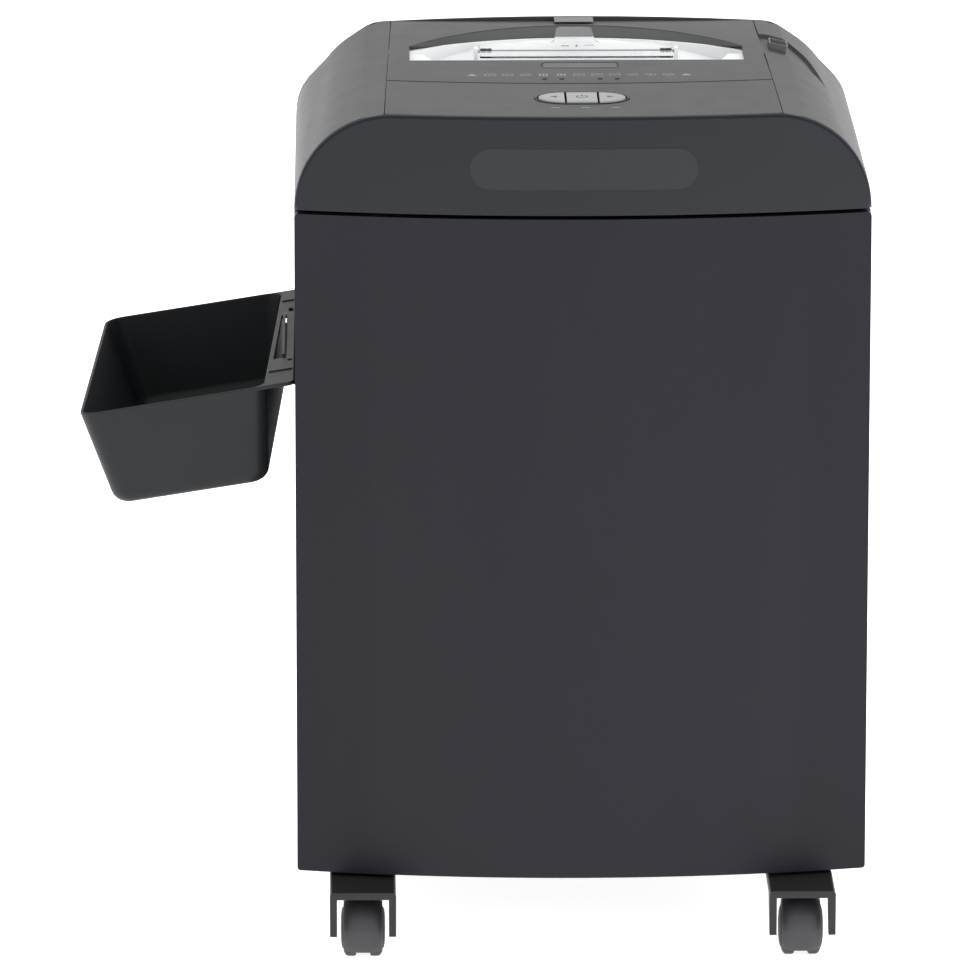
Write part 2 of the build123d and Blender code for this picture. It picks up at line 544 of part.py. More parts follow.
def frames_and_combs(idler_y):
    """Side frames with their bearings, the tie rods and the two stripper combs."""
    frames = []
    bearings = []
    for x0, y1 in ((-142.0, idler_y + 14.0), (138.0, AXIS_REAR_Y + 24.0)):
        frame = block(x0, x0 + 4.0, AXIS_FRONT_Y - 24.0, y1, HEAD_BOTTOM, 628.0)
        for y in (AXIS_FRONT_Y, AXIS_REAR_Y):
            frame -= rod_x(BEARING_R, x0 - 1.0, x0 + 5.0, y, AXIS_Z)
            ring = rod_x(BEARING_R, x0, x0 + 4.0, y, AXIS_Z)
            bearings.append(ring - rod_x(8.05, x0 - 1.0, x0 + 5.0, y, AXIS_Z))
        frames.append(frame)
    write("side_frames", group(*frames))
    write("shaft_bearings", group(*bearings))

    rods = [rod_x(3.0, -138.0, 138.0, y, 622.0) for y in (AXIS_FRONT_Y - 20.0, AXIS_REAR_Y + 20.0)]
    write("tie_rods", group(*rods))

    combs = []
    for y, side, start in (
            (AXIS_FRONT_Y, -1, CUTTER_START), (AXIS_REAR_Y, 1, CUTTER_START + CUTTER_PITCH / 2)):
        bar_y = y + side * 29.0
        comb = block(-138.0, 138.0, bar_y - 2.5, bar_y + 2.5, HEAD_BOTTOM, HEAD_BOTTOM + 14.0)
        tip = y + side * 13.0
        y0, y1 = sorted((tip, bar_y))
        fingers = [block(start + CUTTER_THICK + 0.9 + CUTTER_PITCH * index,
                         start + CUTTER_PITCH * (index + 1) - 0.9, y0, y1, HEAD_BOTTOM + 4.0,
                         HEAD_BOTTOM + 10.0) for index in range(CUTTER_COUNT - 1)]
        combs.append(comb.fuse(*fingers))
    write("stripper_combs", group(*combs))


def mechanism():
    """Everything that cuts: cylinders, gear train, motor, frames, combs and the gear guard."""
    write("cutter_front", cutter(AXIS_FRONT_Y, CUTTER_START, 1))
    write("cutter_rear", cutter(AXIS_REAR_Y, CUTTER_START + CUTTER_PITCH / 2, -1))
    idler_y, motor_y = gear_train()
    motor_and_boards(motor_y)
    frames_and_combs(idler_y)
    guard = block(-170.0, -168.0, 155.0, 316.0, HEAD_BOTTOM, 644.0)
    guard += block(-170.0, -146.0, 155.0, 316.0, 642.0, 644.0)
    guard += block(-184.0, -170.0, 160.0, 311.0, HEAD_BOTTOM, HEAD_BOTTOM + 2.0)
    write("gear_guard", guard)


# ---- castors ----
def caster_hood(x, y):
    """Swivelling part of a twin-wheel castor: stem, centre web and hood."""
    axle_y = y - CASTER_TRAIL
    hood = rod_x(WHEEL_R + 2.0, x - 15.0, x + 15.0, axle_y, WHEEL_R)
    hood -= rod_x(WHEEL_R + 0.8, x - 16.0, x + 16.0, axle_y, WHEEL_R)
    window = [
        (axle_y, WHEEL_R), (axle_y - 40.0, WHEEL_R - 32.0), (axle_y - 40.0, 0.0), (axle_y - 40.0, -20.0),
        (axle_y + 50.0, -20.0), (axle_y + 50.0, WHEEL_R + 12.0)]
    hood -= prism_x(window, x - 16.0, x + 16.0)
    web = rod_x(WHEEL_R - 4.0, x - 5.0, x + 5.0, axle_y, WHEEL_R)
    web += rod_x(WHEEL_R + 2.0, x - 5.0, x + 5.0, axle_y, WHEEL_R) & block(
        x - 5.0, x + 5.0, axle_y - 30.0, axle_y + 30.0, WHEEL_R - 14.0, WHEEL_R + 30.0)
    collar = rod_z(6.2, x, y, WHEEL_R + 21.0, PLATE_Z - 0.3)
    collar += block(x - 5.0, x + 5.0, y - 5.0, y + 5.0, WHEEL_R, WHEEL_R + 22.0)
    pin = rod_z(CASTER_PIN_R, x, y, PLATE_Z - 1.0, PLATE_Z + 9.0)
    return hood + web + collar + pin - rod_x(3.05, x - 20.0, x + 20.0, axle_y, WHEEL_R)


def caster_wheels(x, y):
    """Two domed wheels on one axle."""
    axle_y = y - CASTER_TRAIL
    profile = Polyline((5.4, 3.0), (5.4, WHEEL_R), (12.5, WHEEL_R))
    dome = ThreePointArc((12.5, WHEEL_R), (16.2, 14.0), (17.5, 3.0))
    closing = Line((17.5, 3.0), (5.4, 3.0))
    face = make_face(profile + dome + closing)
    wheel = revolve(face, Axis.X, 360)
    pair = [Pos(x, axle_y, WHEEL_R) * wheel, Pos(x, axle_y, WHEEL_R) * mirror(wheel, Plane.YZ)]
    return group(*pair, rod_x(3.0, x - 17.0, x + 17.0, axle_y, WHEEL_R))


def casters():
    """Four castors, the front pair's anti-tip brackets and the rear pair's plates."""
    corners = {
        "front_left": (-CASTER_X, CASTER_FRONT_Y), "front_right": (CASTER_X, CASTER_FRONT_Y),
        "rear_left": (-CASTER_X, CASTER_REAR_Y), "rear_right": (CASTER_X, CASTER_REAR_Y)}
    for corner, (x, y) in corners.items():
        write(f"castor_{corner}", caster_hood(x, y))
        write(f"wheels_{corner}", caster_wheels(x, y))

    brackets = []
    plates = []
    screws = []
    for x in (-CASTER_X, CASTER_X):
        web = block(x - BRACKET_HALF, x + BRACKET_HALF, BRACKET_FRONT, BRACKET_REAR, PLATE_Z, BASE_Z)
        leg_side = [(BRACKET_FRONT, BRACKET_FOOT), (BRACKET_FRONT + 5.0, BRACKET_FOOT), (-30.0, PLATE_Z),
                    (-30.0, BASE_Z), (BRACKET_FRONT, BASE_Z)]
        for x0 in (x - BRACKET_HALF, x + BRACKET_HALF - BRACKET_LEG):
            web += prism_x(leg_side, x0, x0 + BRACKET_LEG)
        top_edges = web.edges().filter_by(Axis.Y).group_by(Axis.Z)[-1]
        web = fillet(top_edges, 3.0)
        web -= rod_z(CASTER_PIN_R + 0.05, x, CASTER_FRONT_Y, PLATE_Z, BASE_Z)
        plate = block(x - BRACKET_HALF, x + BRACKET_HALF, CASTER_REAR_Y - 32.0, CASTER_REAR_Y + 32.0,
                      PLATE_Z, BASE_Z)
        plate -= rod_z(CASTER_PIN_R + 0.05, x, CASTER_REAR_Y, PLATE_Z, BASE_Z)
        brackets.append(web)
        plates.append(plate)
        for dx, y in ((-18.0, 60.0), (18.0, 60.0), (-18.0, 80.0), (18.0, 80.0)):
            screws.append(rod_z(3.4, x + dx, y, PLATE_Z - 2.0, PLATE_Z))
        for dx, dy in ((-18.0, -26.0), (18.0, -26.0), (-18.0, 26.0), (18.0, 26.0)):
            screws.append(rod_z(3.4, x + dx, CASTER_REAR_Y + dy, PLATE_Z - 2.0, PLATE_Z))
    write("castor_brackets", group(*brackets))
    write("castor_plates", group(*plates))
    write("plate_screws", group(*screws))


# ---- disc tray ----
def tray_frame():
    """Local frame of the tray: X outwards along the rim, Y to the front, Z up out of the tray."""
    tilt = math.radians(TRAY_TILT)
    splay = math.radians(TRAY_SPLAY)
    return Plane((-HALF, TRAY_MID, TRAY_HINGE_Z),
                 x_dir=(-math.cos(tilt) * math.cos(splay), math.cos(tilt) * math.sin(splay), -math.sin(tilt)),
                 z_dir=(-math.sin(tilt) * math.cos(splay), math.sin(tilt) * math.sin(splay), math.cos(tilt)))


def tray_ring(depth, inset):
    """Rounded plan of the tray at a depth below the rim, inset by a wall."""
    share = depth / TRAY_DROP
    inner_draft, outer_draft, end_draft = TRAY_DRAFT
    near = TRAY_INNER + inner_draft * share + inset
    far = TRAY_OUTER - outer_draft * share - inset
    half = (TRAY_REAR - TRAY_FRONT) / 2 - end_draft * share - inset
    return Pos((near + far) / 2, 0, -depth) * RectangleRounded(far - near, 2 * half, TRAY_CORNER - inset)


def disc_tray():
    """Removable side tray with a flange that hooks over the lip of a hanger."""
    outer = loft([tray_ring(0.0, 0.0), tray_ring(TRAY_DROP, 0.0)])
    inner = loft([tray_ring(0.0, TRAY_WALL), tray_ring(TRAY_DROP - TRAY_WALL, TRAY_WALL)])
    outer = fillet(outer.faces().sort_by(Axis.Z)[0].edges(), 9.0)
    flange_half = (TRAY_REAR - TRAY_FRONT) / 2 - 1.0
    flange = block(-20.0, TRAY_INNER + 12.0, -flange_half, flange_half, -FLANGE_THICK, 0.0)
    tray = tray_frame() * (outer + flange - inner)
    tray -= block(-HALF - FLANGE_GAP, -HALF + 40.0, TRAY_FRONT - 10.0, TRAY_REAR + 10.0, 380.0, 480.0)
    window = block(-HALF - 60.0, -HALF - 7.6, HANGER_FRONT, HANGER_REAR, 430.0, 460.0)
    keep = block(TRAY_INNER - 1.5, 200.0, -200.0, 200.0, -60.0, 20.0)
    write("disc_tray", tray - (window - tray_frame() * keep))

    front = HANGER_FRONT + 3.0
    rear = HANGER_REAR - 3.0
    lip = -HALF - LIP_X - LIP_THICK / 2
    hanger = block(-HALF - 2.0, -HALF, front, rear, HANGER_Z - 16.0, HANGER_Z + 1.0)
    hanger += block(lip, -HALF - 2.0, front, rear, HANGER_Z - 2.5, HANGER_Z)
    hanger += block(lip, lip + LIP_THICK, front, rear, HANGER_Z, HANGER_Z + 8.5)
    for y in (front + 20.0, rear - 20.0):
        hanger += block(lip, -HALF - 2.0, y - 1.5, y + 1.5, HANGER_Z - 12.0, HANGER_Z - 2.5)
    write("tray_hanger", hanger)


def main():
    """Build and write every node."""
    os.makedirs("parts", exist_ok=True)
    cabinet()
    drawer()
    head_covers()
    head_fittings()
    controls()
    mechanism()
    casters()
    disc_tray()


if __name__ == "__main__":
    main()
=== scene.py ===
"""Department paper shredder on castors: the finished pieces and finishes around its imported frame.

Sizes are in millimetres in cabinet coordinates: x = 0 is the middle of the cabinet, y = 0 the plane of
the front panel's two vertical edges, +y runs to the back and z = 0 is the floor.
"""
from __future__ import annotations

import json
import logging
import math
from collections.abc import Callable, Iterable, Sequence
from dataclasses import dataclass, field
from enum import Enum

import bmesh
import bpy
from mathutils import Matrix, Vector


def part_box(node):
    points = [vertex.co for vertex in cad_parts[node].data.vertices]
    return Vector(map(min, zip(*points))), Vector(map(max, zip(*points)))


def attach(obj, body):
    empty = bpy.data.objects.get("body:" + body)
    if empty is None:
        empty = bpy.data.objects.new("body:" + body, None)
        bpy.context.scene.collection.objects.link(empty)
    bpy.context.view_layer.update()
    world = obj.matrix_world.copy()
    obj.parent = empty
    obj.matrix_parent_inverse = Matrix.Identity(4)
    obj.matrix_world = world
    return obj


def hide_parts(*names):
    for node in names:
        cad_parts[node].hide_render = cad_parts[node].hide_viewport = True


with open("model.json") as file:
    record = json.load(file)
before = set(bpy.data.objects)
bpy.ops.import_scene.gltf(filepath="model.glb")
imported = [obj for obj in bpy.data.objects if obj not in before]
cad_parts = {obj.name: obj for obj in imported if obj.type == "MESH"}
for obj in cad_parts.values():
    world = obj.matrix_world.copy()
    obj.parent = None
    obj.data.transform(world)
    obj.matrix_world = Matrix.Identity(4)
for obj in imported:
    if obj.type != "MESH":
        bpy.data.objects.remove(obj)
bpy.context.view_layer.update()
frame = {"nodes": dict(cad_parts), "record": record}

LOG = logging.getLogger("shredder")
MM = 0.001
Outline = list[tuple[float, float]]
Colour = tuple[float, float, float]
Placer = Callable[[float, float, float], Vector]


class Slot(Enum):
    """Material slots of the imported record."""

    CABINET = "cabinet_panel"
    FASCIA = "fascia"
    COVER = "cover"
    BADGE = "badge"
    THROAT = "throat"
    CLEAR = "clear"
    BUTTON = "button"
    TRIM = "dark_trim"
    LAMP = "lamp"
    WINDOW = "window"
    STEEL = "steel"
    CUTTER = "cutter_steel"
    ZINC = "zinc"
    GEAR = "gear_plastic"
    BRONZE = "bronze"
    CIRCUIT = "circuit"
    BRACKET = "bracket_metal"
    CASTOR = "castor_plastic"
    TRAY = "tray_plastic"
    BIN = "bin_plastic"
    MOTOR = "motor_paint"


class Axis(Enum):
    """Axis that a turned piece is turned about."""

    X = 0
    Z = 2


# ---- finishes ----
class Layout:
    """Nodes of one material, laid out from short calls."""

    def __init__(self, name: str) -> None:
        """Start a material.

        Args:
            name: the material's name.
        """
        self.material = bpy.data.materials.new(name)
        self.material.use_nodes = True
        self.tree = self.material.node_tree
        self.shader = self.tree.nodes["Principled BSDF"]
        self.place = self.tree.nodes.new("ShaderNodeTexCoord").outputs["Object"]

    def fixed(self, **values: float | tuple) -> None:
        """Set constants on the shader's own sockets.

        Args:
            values: socket names with underscores for spaces, and their values.
        """
        for name, value in values.items():
            self.shader.inputs[name.replace("_", " ")].default_value = value

    def noise(self, scale: float, detail: float = 2.0,
              stretch: Colour = (1.0, 1.0, 1.0)) -> bpy.types.NodeSocket:
        """Soft random pattern.

        Args:
            scale: repeats per metre.
            detail: number of finer layers.
            stretch: scale along each axis, which draws the pattern out.

        Returns:
            The pattern's value socket.
        """
        mapping = self.tree.nodes.new("ShaderNodeMapping")
        mapping.inputs["Scale"].default_value = stretch
        self.tree.links.new(self.place, mapping.inputs["Vector"])
        node = self.tree.nodes.new("ShaderNodeTexNoise")
        node.inputs["Scale"].default_value = scale
        node.inputs["Detail"].default_value = detail
        self.tree.links.new(mapping.outputs["Vector"], node.inputs["Vector"])
        return node.outputs["Fac"]

    def cells(self, scale: float) -> bpy.types.NodeSocket:
        """Close-set cells, as spark-eroded mould grain has.

        Args:
            scale: cells per metre.

        Returns:
            The socket with the distance from each cell's middle.
        """
        node = self.tree.nodes.new("ShaderNodeTexVoronoi")
        node.inputs["Scale"].default_value = scale
        self.tree.links.new(self.place, node.inputs["Vector"])
        return node.outputs["Distance"]

    def span(self, value: bpy.types.NodeSocket, low: float, high: float) -> bpy.types.NodeSocket:
        """Spread a pattern between two numbers.

        Args:
            value: the pattern.
            low: result where the pattern is low.
            high: result where the pattern is high.

        Returns:
            The spread value's socket.
        """
        node = self.tree.nodes.new("ShaderNodeMapRange")
        node.inputs["From Min"].default_value = 0.3
        node.inputs["From Max"].default_value = 0.7
        node.inputs["To Min"].default_value = low
        node.inputs["To Max"].default_value = high
        self.tree.links.new(value, node.inputs["Value"])
        return node.outputs["Result"]

    def tones(self, value: bpy.types.NodeSocket, dark: Colour, light: Colour) -> bpy.types.NodeSocket:
        """Colour between two tones by a pattern.

        Args:
            value: the pattern.
            dark: colour where the pattern is low.
            light: colour where the pattern is high.

        Returns:
            The colour's socket.
        """
        node = self.tree.nodes.new("ShaderNodeValToRGB")
        for stop, position, colour in zip(node.color_ramp.elements, (0.32, 0.68), (dark, light)):
            stop.position = position
            stop.color = (*colour, 1.0)
        self.tree.links.new(value, node.inputs["Fac"])
        return node.outputs["Color"]

    def edge_highlight_and_wear(self, colour: bpy.types.NodeSocket, rim_sheen_and_wear: Colour, amount: float) -> bpy.types.NodeSocket:
        """Brighten a colour on convex edges: a painted highlight along the rims, partly also wear where hands
        and dust rub them.

        Args:
            colour: the colour's socket.
            rim_sheen_and_wear: colour of a bright rim, painted highlight and wear together.
            amount: how much of it shows.

        Returns:
            The colour's socket with its rims brightened.
        """
        # pointiness picks out convex rims; brightening them paints a highlight there, partly also wear
        edge = self.tree.nodes.new("ShaderNodeNewGeometry").outputs["Pointiness"]
        ramp = self.tree.nodes.new("ShaderNodeMapRange")
        ramp.inputs["From Min"].default_value = 0.52
        ramp.inputs["From Max"].default_value = 0.62
        ramp.inputs["To Max"].default_value = amount
        self.tree.links.new(edge, ramp.inputs["Value"])
        mix = self.tree.nodes.new("ShaderNodeMix")
        mix.data_type = "RGBA"
        mix.inputs["B"].default_value = (*rim_sheen_and_wear, 1.0)
        sockets = {socket.identifier: socket for socket in mix.inputs}
        self.tree.links.new(ramp.outputs["Result"], sockets["Factor_Float"])
        self.tree.links.new(colour, sockets["A_Color"])
        sockets["B_Color"].default_value = (*rim_sheen_and_wear, 1.0)
        return next(s for s in mix.outputs if s.identifier == "Result_Color")

    def drive(self, socket: str, value: bpy.types.NodeSocket) -> None:
        """Feed a pattern to one of the shader's sockets.

        Args:
            socket: name of the shader's socket.
            value: the pattern.
        """
        self.tree.links.new(value, self.shader.inputs[socket])

    def relief(self, *layers: tuple[bpy.types.NodeSocket, float, float]) -> None:
        """Raise the surface by patterns, one on another.

        Args:
            layers: each layer's pattern, strength and height in metres.
        """
        below = None
        for pattern, strength, height in layers:
            bump = self.tree.nodes.new("ShaderNodeBump")
            bump.inputs["Strength"].default_value = strength
            bump.inputs["Distance"].default_value = height
            self.tree.links.new(pattern, bump.inputs["Height"])
            if below is not None:
                self.tree.links.new(below, bump.inputs["Normal"])
            below = bump.outputs["Normal"]
        self.tree.links.new(below, self.shader.inputs["Normal"])


@dataclass(frozen=True)
class Finish:
    """Shared part of every finish: a name and one cached material."""

    name: str

    def material(self) -> bpy.types.Material:
        """Give the finish's material, made on first use."""
        made = bpy.data.materials.get(self.name)
        return made or self.lay_out(Layout(self.name))

    def lay_out(self, nodes: Layout) -> bpy.types.Material:
        """Lay out the material's nodes; each kind of finish has its own."""
        raise NotImplementedError(nodes.material.name)


@dataclass(frozen=True)
class MouldedPlastic(Finish):
    """Injection-moulded plastic with a spark-eroded grain."""

    dark: Colour
    light: Colour
    roughness: float = 0.42
    grain: float = 1100.0
    relief: float = 0.10
    gloss: float = 0.5
    # share of the brightened rim: painted edge highlight, partly also wear
    rim_sheen_and_wear: float = 0.12

    def lay_out(self, nodes: Layout) -> bpy.types.Material:
        """Lay out tint clouds, grain relief, roughness patches and brightened rims, which are a painted
        highlight and partly wear.

        Args:
            nodes: the material's layout.

        Returns:
            The finished material.
        """
        broad = nodes.noise(7.0, 3.0)
        patches = nodes.noise(46.0, 4.0)
        grain = nodes.cells(self.grain)
        # rim colour: a painted highlight on convex edges, partly also wear
        rim_sheen_tint = tuple(min(1.0, 1.6 * channel + 0.02) for channel in self.light)
        tint = nodes.tones(broad, self.dark, self.light)
        nodes.drive("Base Color", nodes.edge_highlight_and_wear(tint, rim_sheen_tint, self.rim_sheen_and_wear))
        nodes.drive("Roughness", nodes.span(patches, self.roughness - 0.015, self.roughness + 0.02))
        nodes.relief((grain, self.relief, 0.0002), (nodes.noise(22.0, 1.0), 0.006, 0.0015))
        nodes.fixed(Specular_IOR_Level=self.gloss)
        return nodes.material


@dataclass(frozen=True)
class FineLacquer(Finish):
    """Smooth satin lacquer on a flat panel, with faint orange peel and handling marks."""

    dark: Colour
    light: Colour
    roughness: float = 0.36
    coat: float = 0.0
    gloss: float = 0.3

    def lay_out(self, nodes: Layout) -> bpy.types.Material:
        """Lay out tone drift, orange peel, faint wiped marks and brightened rims, a painted highlight that is
        partly wear.

        Args:
            nodes: the material's layout.

        Returns:
            The finished material.
        """
        drift = nodes.noise(3.0, 2.0)
        wiped = nodes.noise(14.0, 5.0, (1.0, 1.0, 0.22))
        tint = nodes.tones(drift, self.dark, self.light)
        # brightened rim: a painted highlight on convex edges, partly also wear
        rim_sheen_tint = tuple(1.7 * channel + 0.02 for channel in self.light)
        nodes.drive("Base Color", nodes.edge_highlight_and_wear(tint, rim_sheen_tint, 0.08))
        nodes.drive("Roughness", nodes.span(wiped, self.roughness - 0.03, self.roughness + 0.05))
        nodes.relief((nodes.noise(900.0, 1.0), 0.06, 0.0001), (nodes.noise(2600.0, 0.0), 0.05, 0.00006))
        nodes.fixed(Coat_Weight=self.coat, Coat_Roughness=0.12, Specular_IOR_Level=self.gloss)
        return nodes.material


@dataclass(frozen=True)
class Metal(Finish):
    """Machined, drawn or plated metal."""

    dark: Colour
    light: Colour
    roughness: float = 0.3
    brushed: Colour = (1.0, 1.0, 1.0)
    spangle: float = 0.0

    def lay_out(self, nodes: Layout) -> bpy.types.Material:
        """Lay out tool marks along the metal and, on plating, its spangle.

        Args:
            nodes: the material's layout.

        Returns:
            The finished material.
        """
        marks = nodes.noise(420.0, 3.0, self.brushed)
        stain = nodes.noise(18.0, 4.0)
        pattern = nodes.cells(160.0) if self.spangle else stain
        nodes.drive("Base Color", nodes.tones(pattern, self.dark, self.light))
        nodes.drive("Roughness", nodes.span(stain, self.roughness - 0.07, self.roughness + 0.1))
        nodes.relief((marks, 0.16, 0.0001))
        nodes.fixed(Metallic=1.0)
        return nodes.material


@dataclass(frozen=True)
class ClearPlastic(Finish):
    """Clear moulded plastic with fine scratches."""

    tint: Colour
    roughness: float = 0.03
    through: float = 1.0

    def lay_out(self, nodes: Layout) -> bpy.types.Material:
        """Lay out scratches in the gloss and a faint flow pattern.

        Args:
            nodes: the material's layout.

        Returns:
            The finished material.
        """
        scratches = nodes.noise(900.0, 4.0, (0.12, 1.0, 1.0))
        paler = tuple(0.96 * channel for channel in self.tint)
        nodes.drive("Base Color", nodes.tones(nodes.noise(12.0), paler, self.tint))
        nodes.drive("Roughness", nodes.span(scratches, self.roughness, self.roughness + 0.06))
        nodes.relief((nodes.noise(30.0, 1.0), 0.02, 0.001))
        nodes.fixed(Transmission_Weight=self.through, IOR=1.2)
        return nodes.material


@dataclass(frozen=True)
class CircuitBoard(Finish):
    """Green solder mask with copper runs and pads."""

    mask: Colour = (0.008, 0.06, 0.024)
    run: Colour = (0.02, 0.13, 0.05)

    def lay_out(self, nodes: Layout) -> bpy.types.Material:
        """Lay out copper runs under the mask.

        Args:
            nodes: the material's layout.

        Returns:
            The finished material.
        """
        runs = nodes.tree.nodes.new("ShaderNodeTexBrick")
        runs.inputs["Scale"].default_value = 120.0
        runs.inputs["Mortar Size"].default_value = 0.06
        runs.inputs["Color1"].default_value = (*self.mask, 1.0)
        runs.inputs["Color2"].default_value = (*(0.7 * channel for channel in self.mask), 1.0)
        runs.inputs["Mortar"].default_value = (*self.run, 1.0)
        nodes.tree.links.new(nodes.place, runs.inputs["Vector"])
        nodes.drive("Base Color", runs.outputs["Color"])
        nodes.drive("Roughness", nodes.span(nodes.noise(70.0), 0.25, 0.4))
        nodes.relief((runs.outputs["Fac"], 0.2, 0.0001))
        return nodes.material


COVER = MouldedPlastic("cover_grained_grey", (0.030, 0.032, 0.031), (0.034, 0.036, 0.035),
                       0.42, 900.0, 0.10, 0.30)
FASCIA = FineLacquer("fascia_blue_black", (0.0045, 0.0062, 0.0098), (0.0056, 0.0073, 0.0110), 0.24, 0.10, 0.2)
PANEL = FineLacquer("panel_charcoal", (0.0074, 0.0078, 0.0118), (0.0086, 0.0090, 0.0132), 0.42, 0.0, 0.2)
BADGE = FineLacquer("badge_slate", (0.0105, 0.0120, 0.0155), (0.0125, 0.0140, 0.0175), 0.30, 0.08, 0.25)
TRIM = MouldedPlastic("trim_black", (0.005, 0.005, 0.0055), (0.008, 0.008, 0.009), 0.36, 1300.0, 0.06, 0.3)
THROAT = MouldedPlastic("throat_pale_grey", (0.74, 0.75, 0.76), (0.79, 0.80, 0.805),
                        0.34, 1200.0, 0.04, 0.4, 0.0)
BUTTON = MouldedPlastic("button_silver", (0.24, 0.245, 0.25), (0.28, 0.285, 0.29),
                        0.32, 1500.0, 0.05, 0.5, 0.3)
PRINT = MouldedPlastic("print_pale", (0.20, 0.21, 0.21), (0.25, 0.26, 0.26), 0.5, 1500.0, 0.02, 0.3, 0.0)
INK = MouldedPlastic("print_dark", (0.010, 0.010, 0.011), (0.016, 0.016, 0.016), 0.5, 1500.0, 0.02, 0.3, 0.0)
MARK = MouldedPlastic("key_mark_grey", (0.060, 0.061, 0.063), (0.080, 0.081, 0.083),
                      0.5, 1500.0, 0.02, 0.3, 0.0)
LABEL = MouldedPlastic("label_grey_film", (0.075, 0.077, 0.075), (0.090, 0.092, 0.090),
                       0.3, 1500.0, 0.02, 0.4, 0.0)
BEZEL = MouldedPlastic("switch_bezel_grey", (0.075, 0.077, 0.075), (0.095, 0.097, 0.095),
                       0.35, 1300.0, 0.05, 0.4)
LAMP = ClearPlastic("lamp_smoked", (0.05, 0.035, 0.03), 0.08, 0.4)
WINDOW = MouldedPlastic("window_grey_lens", (0.034, 0.035, 0.035), (0.040, 0.041, 0.041),
                        0.3, 1500.0, 0.01, 0.2, 0.0)
CLEAR = ClearPlastic("flap_clear", (0.96, 0.98, 0.98))
TRAY = MouldedPlastic("tray_black", (0.0100, 0.0115, 0.0130), (0.0125, 0.0140, 0.0155),
                      0.44, 1000.0, 0.12, 0.2)
CASTOR = MouldedPlastic("castor_black", (0.042, 0.042, 0.047), (0.050, 0.050, 0.055), 0.42, 1200.0, 0.08, 0.3)
TYRE = MouldedPlastic("castor_tread", (0.020, 0.020, 0.022), (0.026, 0.026, 0.028), 0.55, 800.0, 0.12, 0.3)
BIN = MouldedPlastic("bin_grey", (0.05, 0.055, 0.06), (0.07, 0.075, 0.08), 0.45, 800.0, 0.10, 0.35)
BRACKET = FineLacquer("bracket_powder_black", (0.016, 0.016, 0.017), (0.020, 0.020, 0.021), 0.42, 0.0, 0.25)
MOTOR = FineLacquer("motor_grey_paint", (0.10, 0.11, 0.12), (0.14, 0.15, 0.16), 0.40)
STEEL = Metal("steel_drawn", (0.34, 0.34, 0.35), (0.46, 0.46, 0.47), 0.28, (0.05, 1.0, 1.0))
ROD = Metal("rod_dark_steel", (0.055, 0.055, 0.058), (0.10, 0.10, 0.105), 0.34, (0.05, 1.0, 1.0))
CUTTER = Metal("steel_ground_hard", (0.20, 0.20, 0.21), (0.34, 0.34, 0.35), 0.34, (1.0, 0.2, 0.2))
ZINC = Metal("zinc_plate", (0.42, 0.43, 0.45), (0.60, 0.61, 0.62), 0.36, (1.0, 1.0, 1.0), 1.0)
BRONZE = Metal("bronze_sintered", (0.42, 0.24, 0.09), (0.56, 0.34, 0.14), 0.42)
NYLON = MouldedPlastic("gear_nylon", (0.62, 0.60, 0.54), (0.72, 0.70, 0.64), 0.45, 700.0, 0.06, 0.5, 0.0)
CIRCUIT = CircuitBoard("circuit_green")

SLOT_FINISH: dict[Slot, Finish] = {
    Slot.CABINET: PANEL, Slot.FASCIA: FASCIA, Slot.COVER: COVER, Slot.BADGE: BADGE, Slot.THROAT: THROAT,
    Slot.CLEAR: CLEAR, Slot.BUTTON: BUTTON, Slot.TRIM: TRIM, Slot.LAMP: LAMP, Slot.WINDOW: WINDOW,
    Slot.STEEL: STEEL, Slot.CUTTER: CUTTER, Slot.ZINC: ZINC, Slot.GEAR: NYLON, Slot.BRONZE: BRONZE,
    Slot.CIRCUIT: CIRCUIT, Slot.BRACKET: BRACKET, Slot.CASTOR: CASTOR, Slot.TRAY: TRAY, Slot.BIN: BIN,
    Slot.MOTOR: MOTOR}


